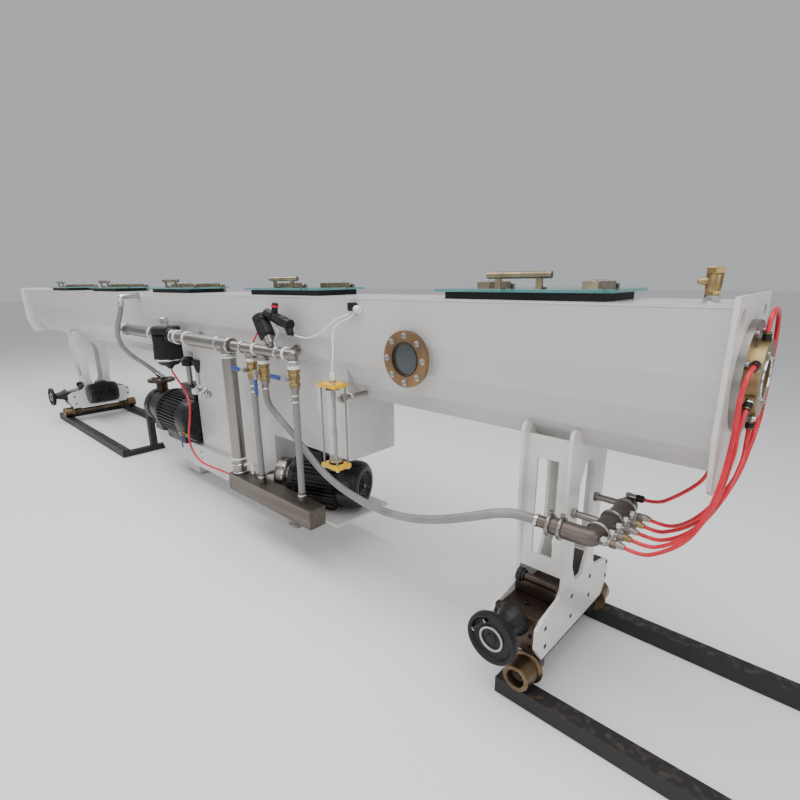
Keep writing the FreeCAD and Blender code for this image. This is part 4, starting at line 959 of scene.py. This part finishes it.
for x in (-1.9145, -1.2905):
    pipe_trim.bent([
        at(x, -0.2745, 0.2065), at(x, -0.1955, 0.2065), at(x, -0.1955, 0.2860),
        at(x, -0.2745, 0.2860), at(x, -0.2745, 0.2065)], 0.0025, dull_steel, 8)
pipe_trim.nut(on_header(-1.935, 0.246), forth, 0.010, 0.020, chrome)
pipe_trim.bent([
    at(-1.800, -0.212, 0.287), at(-1.800, -0.212, 0.318), at(-1.835, -0.200, 0.335),
    at(-1.842, -0.232, 0.330)], 0.007, white_plastic, 12)
pipe_trim.nut(at(-1.800, -0.212, 0.286), up, 0.012, 0.016, chrome)
pipe_trim.done("carriage", "stainless")

# ---- drop hoses ----------------------------------------------------------------------
# Clear hose with a wound coil in its wall, pulled straight between a valve and the square
# manifold.
coil_hose = Finish("coil_hose", Coat_Weight=0.3, Coat_Roughness=0.1)
coils_in = coil_hose.node("ShaderNodeTexWave", {"bands_direction": "Z"},
                          {"Vector": coil_hose.place(), "Scale": 52.0, "Distortion": 0.6})
coil_hose.colours(coils_in.between(0.55, 0.95), (0.3, 0.29, 0.28), (0.09, 0.085, 0.08))
coil_hose.show("Roughness", 0.15 + 0.2 * coils_in)
coil_hose.show("Alpha", 0.74 + 0.24 * coils_in)
coil_hose.bump(coils_in, 0.0006)
coat(coil_hose, "drop_hoses")

# ---- ball valves ---------------------------------------------------------------------
# Three brass ball valves under the header, sealed with white tape at the top and joined
# below to a stainless hose tail. Steel levers are dipped in blue vinyl.
stem_z = 0.8085
for number, valve_x in enumerate(valve_places, start=1):
    valve = Piece("ball_valve_%d" % number)
    valve.turned(on_header(valve_x, 0.841), up, [
        (0, 0.018), (0, 0.0232), (0.013, 0.0232), (0.014, 0.020)], white_plastic, 28)
    valve.nut(on_header(valve_x, 0.828), up, 0.0245, 0.014, brass)
    valve.turned(on_header(valve_x, 0.786), up, [
        (0, 0.018), (0.004, 0.0205), (0.012, 0.0225), (0.032, 0.0225), (0.040, 0.0200),
        (0.044, 0.018)], brass, 36)
    valve.nut(on_header(valve_x, 0.772), up, 0.0235, 0.015, brass)
    valve.nut(on_header(valve_x, 0.758), up, 0.020, 0.014, stainless)
    valve.bar(on_header(valve_x, 0.729), on_header(valve_x, 0.760), 0.0150, stainless)
    ferrule(valve, on_header(valve_x, 0.738), up, 0.0155, chrome, 0.010, 0.003)
    valve.bar(at(valve_x, -0.250, stem_z), at(valve_x, -0.262, stem_z), 0.0105, brass)
    valve.bar(at(valve_x, -0.260, stem_z), at(valve_x, -0.275, stem_z), 0.0058, steel_screw)
    valve.done("carriage", "brass", *(["ball_valve_bodies"] if number == 1 else []))
    lever = Piece("lever_%d" % number)
    pose = Matrix.Translation(at(valve_x, -0.279, stem_z))
    if number == 2:
        pose = pose @ Matrix.Rotation(-math.pi / 2, 4, "Y")
    lever.block((-0.034, -0.0015, -0.0085), (0.011, 0.0015, 0.0085), steel_screw, 0.001, pose)
    lever.block((-0.095, -0.0045, -0.0095), (-0.028, 0.0040, 0.0095), blue_vinyl, 0.0035, pose)
    lever.block((-0.050, -0.0052, -0.0080), (-0.030, 0.0046, 0.0080), blue_vinyl, 0.003, pose)
    lever.turned(at(valve_x, -0.2655, stem_z), near, [
        (0, 0.0064), (0, 0.0108), (0.011, 0.0108), (0.012, 0.0064)], steel_screw, 24)
    lever.nut(at(valve_x, -0.2795, stem_z), near, 0.0085, 0.006, steel_screw)
    lever.done("valve_lever_%d" % number, "blue_grip", "valve_lever_%d" % number)

# ---- strainer ------------------------------------------------------------------------
# A black ribbed plastic filter body in the main pipe. A chromed rim closes its bowl, the
# drain is below, and a chromed fitting stands on top.
strainer_x = -2.520
strainer_trim = Piece("strainer_body")
strainer_base = on_header(strainer_x, 0.735)
strainer_trim.turned(strainer_base, up, [
    (0.036, 0.060), (0.040, 0.074), (0.112, 0.0705), (0.160, 0.0705), (0.168, 0.060)],
    black_moulding, teeth=(44, 0.0022))
strainer_trim.turned(strainer_base, up, [
    (0.164, 0.060), (0.168, 0.0735), (0.200, 0.0735), (0.207, 0.068), (0.210, 0.030), (0.210, 0)],
    black_moulding, 56)
strainer_trim.turned(strainer_base, up, [
    (0.028, 0.055), (0.028, 0.0725), (0.031, 0.0755), (0.036, 0.0755), (0.039, 0.072)], chrome, 56)
strainer_trim.turned(strainer_base, up, [
    (-0.018, 0), (-0.018, 0.010), (0.0, 0.026), (0.004, 0.046), (0.018, 0.060), (0.029, 0.062)],
    black_moulding, 48)
strainer_trim.nut(strainer_base + down * 0.016, down, 0.0105, 0.012, chrome)
strainer_trim.bar(on_header(strainer_x, 0.708), on_header(strainer_x, 0.728), 0.0078,
                  black_moulding)
strainer_trim.turned(on_header(strainer_x, 0.944), up, [
    (0, 0.030), (0.004, 0.030), (0.005, 0.020), (0.020, 0.020), (0.022, 0.024), (0.040, 0.024),
    (0.044, 0.018), (0.046, 0)], chrome, 32)
for side in (-1, 1):
    ferrule(strainer_trim, on_header(strainer_x + side * 0.080), forth, 0.033, black_moulding,
            0.030, 0.010)
strainer_trim.done("carriage", "black_plastic", "strainer")

# ---- hose manifold -------------------------------------------------------------------
# A bent stainless tube clamped to the inlet leg takes the supply hose. Each branch has a
# hexagon fitting and a push-in collar for one red tube.
rack_x, rack_z, feed_y = -0.225, 0.535, -0.190
spread = Piece("hose_spreader")
spread.bent([
    at(-0.342, feed_y, rack_z), at(-0.262, feed_y, rack_z), at(rack_x, -0.186, rack_z),
    at(rack_x, -0.120, rack_z), at(rack_x, 0.074, rack_z)], 0.0245, dull_steel, 28)
spread.turned(at(rack_x, 0.072, rack_z), far, [
    (0, 0.0245), (0.004, 0.022), (0.005, 0)], dull_steel, 28)
spread.bar(at(-0.366, feed_y, rack_z), at(-0.338, feed_y, rack_z), 0.0165, dull_steel)
for x in (-0.334, -0.302):
    ferrule(spread, at(x, feed_y, rack_z), forth, 0.0245, stainless, 0.012, 0.007)
    spread.nut(at(x, feed_y, 0.566), up, 0.007, 0.010, stainless)
for y in (-0.150, -0.058, 0.040):
    ferrule(spread, at(rack_x, y, rack_z), far, 0.0245, stainless, 0.011, 0.006)
ferrule(spread, at(-0.372, feed_y, rack_z), forth, 0.0150, chrome, 0.012, 0.003)
for y in (-0.085, 0.066):
    spread.bar(at(-0.319, y, rack_z), at(-0.240, y, rack_z), 0.0098, stainless)
    spread.nut(at(-0.319, y, rack_z), forth, 0.015, 0.010, stainless)
for branch in range(5):
    y = -0.180 + 0.048 * branch
    spread.bar(at(rack_x, y, rack_z), at(-0.176, y, rack_z), 0.0090, stainless)
    spread.nut(at(-0.202, y, rack_z), forth, 0.0135, 0.014, stainless)
    spread.nut(at(-0.182, y, rack_z), forth, 0.0120, 0.016, dull_steel)
    out_way = (at(-0.110, 0, 0.529) - at(-0.150, 0, rack_z)).normalized()
    spread.turned(at(-0.150, y, rack_z) - out_way * 0.018, out_way, [
        (0, 0.0), (0, 0.0090), (0.012, 0.0090), (0.014, 0.0078), (0.0195, 0.0078),
        (0.0195, 0.0054)], brass if branch % 2 else stainless, 20)
spread.bar(at(rack_x, 0.062, rack_z), at(rack_x, 0.062, 0.574), 0.0088, stainless)
spread.bar(at(-0.226, 0.062, 0.566), at(-0.188, 0.062, 0.566), 0.0088, stainless)
spread.turned(at(-0.204, 0.062, 0.566), forth, [
    (0, 0.0092), (0, 0.0105), (0.016, 0.0105), (0.020, 0.0082), (0.020, 0.0054)], black_moulding,
    20)
spread.done("carriage", "stainless", "hose_manifold")

# ---- level gauge ---------------------------------------------------------------------
# A glass tube between two yellow plates held by steel rods. Two floats ride on a thin
# stem inside, and the sensor lead screws into the top.
yellow = Finish("yellow")
yellow_dirt = yellow.noise(20.0, 5.0).between(0.45, 0.8)
yellow.colours(yellow_dirt, (0.78, 0.44, 0.004), (0.5, 0.28, 0.015))
yellow.show("Roughness", 0.32 + 0.2 * yellow_dirt)
stem_x = -1.148
stem = at(stem_x, -0.241, 0)
gauge = Piece("gauge_body")
for low, high in ((0.505, 0.520), (0.805, 0.820)):
    gauge.block(at(-1.193, -0.275, low), at(-1.103, -0.207, high), yellow, 0.0015)
for x in (-0.036, 0.036):
    for y in (-0.025, 0.025):
        rod = stem + Vector((x, y, 0))
        gauge.bar(rod + up * 0.518, rod + up * 0.807, 0.0035, stainless, 14)
        gauge.nut(rod + up * 0.8195, up, 0.0070, 0.006, steel_screw)
        gauge.nut(rod + up * 0.5055, down, 0.0070, 0.006, steel_screw)
gauge.bar(stem + up * 0.520, stem + up * 0.806, 0.0022, stainless, 10)
for z in (0.622, 0.762):
    gauge.turned(stem + up * z, up, [
        (0, 0.003), (0.001, 0.0095), (0.022, 0.0095), (0.023, 0.003)], stainless, 24)
for z in (0.520, 0.797):
    gauge.ring(stem + up * z, up, 0.0242, 0.0265, 0.008, rubber, 32)
gauge.nut(stem + up * 0.8195, up, 0.0115, 0.010, steel_screw)
gauge.turned(stem + up * 0.829, up, [
    (0, 0), (0, 0.0085), (0.022, 0.0085), (0.026, 0.0060), (0.032, 0.0055), (0.032, 0)],
    white_plastic, 20)
gauge.bar(at(stem_x, -0.219, 0.755), at(stem_x, -0.080, 0.755), 0.0105, stainless)
gauge.nut(at(stem_x, -0.205, 0.755), far, 0.0165, 0.016, stainless)
gauge.nut(at(stem_x, -0.165, 0.755), far, 0.0155, 0.014, chrome)
gauge.done("carriage", "yellow_plate", "gauge_frame")
gauge_glass = Finish("gauge_glass", Base_Color=(0.72, 0.76, 0.76, 1), Coat_Weight=0.6)
gauge_glass.show("Roughness", 0.04 + 0.1 * gauge_glass.noise(10.0))
gauge_glass.show("Alpha", 0.16 + 0.12 * gauge_glass.noise(6.0, 4.0))
coat(gauge_glass, "gauge_tube")

# ---- solenoid valves and cable clip --------------------------------------------------
# Two moulded black coils on a stainless valve body over the header. A black socket on
# the tank's side takes both leads.
coils = Piece("solenoid_coils")
coils.bar(on_header(-1.528, 0.914), on_header(-1.528, 0.940), 0.0125, stainless)
coils.bar(on_header(-1.530, 0.926), on_header(-1.545, 0.956), 0.021, stainless)
coil_low, coil_high = on_header(-1.542, 0.948), at(-1.608, -0.227, 1.032)
coil_way = (coil_high - coil_low).normalized()
coils.turned(coil_low, coil_way, [
    (0, 0.022), (0.004, 0.030), (0.010, 0.034), (0.060, 0.034), (0.062, 0.030), (0.070, 0.030),
    (0.074, 0.034), (0.100, 0.033), (0.107, 0.024), (0.107, 0)], black_moulding, 10)
bar_low, bar_high = at(-1.575, -0.214, 1.042), at(-1.418, -0.212, 1.002)
bar_way = (bar_high - bar_low).normalized()
coils.turned(bar_low, bar_way, [
    (0, 0), (0, 0.019), (0.004, 0.022), (0.048, 0.022), (0.052, 0.017), (0.062, 0.017),
    (0.066, 0.022), (0.122, 0.023), (0.128, 0.018), (0.140, 0.018), (0.144, 0.023), (0.160, 0.022),
    (0.162, 0.012), (0.162, 0)], black_moulding, 8)
coils.bar(at(-1.520, -0.212, 1.040), at(-1.511, -0.212, 1.082), 0.0125, black_moulding, 12)
coils.ring(at(-1.514, -0.212, 1.068), (0.2, 0, 1), 0.0125, 0.0145, 0.008, red_tube, 20)
coils.bar(at(-1.440, -0.212, 1.000), at(-1.423, -0.210, 0.968), 0.0145, black_moulding, 12)
coils.bar(at(-1.424, -0.2102, 0.970), at(-1.4125, -0.2065, 0.9655), 0.0062, black_moulding, 12)
coils.bent([
    at(-1.600, -0.233, 0.985), on_header(-1.622, 0.960), on_header(-1.655, 0.926),
    on_header(-1.662, 0.916)], 0.0040, red_tube, 12)
coils.nut(on_header(-1.662, 0.915), up, 0.0075, 0.010, chrome)
coils.bent([
    at(-1.500, -0.222, 1.010), at(-1.478, -0.226, 0.972), at(-1.505, -0.232, 0.940),
    on_header(-1.500, 0.918)], 0.0038, chrome, 12)
coils.block(at(-1.1425, -0.1665, 1.0615), at(-1.1055, -0.1490, 1.0905), black_moulding, 0.004)
coils.turned(at(-1.106, -0.158, 1.070), (1, -0.15, -0.2), [
    (0, 0), (0, 0.012), (0.018, 0.013), (0.024, 0.011), (0.024, 0)], white_plastic, 24)
for lead_exit, lead_next in ((at(-1.116, -0.157, 1.056), at(-1.124, -0.164, 1.041)),
                             (at(-1.132, -0.158, 1.056), at(-1.146, -0.169, 1.046))):
    lead_way = (lead_next - lead_exit).normalized()
    coils.turned(lead_exit - lead_way * 0.012, lead_way, [
        (0, 0), (0, 0.0058), (0.013, 0.0045), (0.013, 0.0032)], white_plastic, 16)
coils.done("carriage", "black_plastic", "solenoids_and_clip")
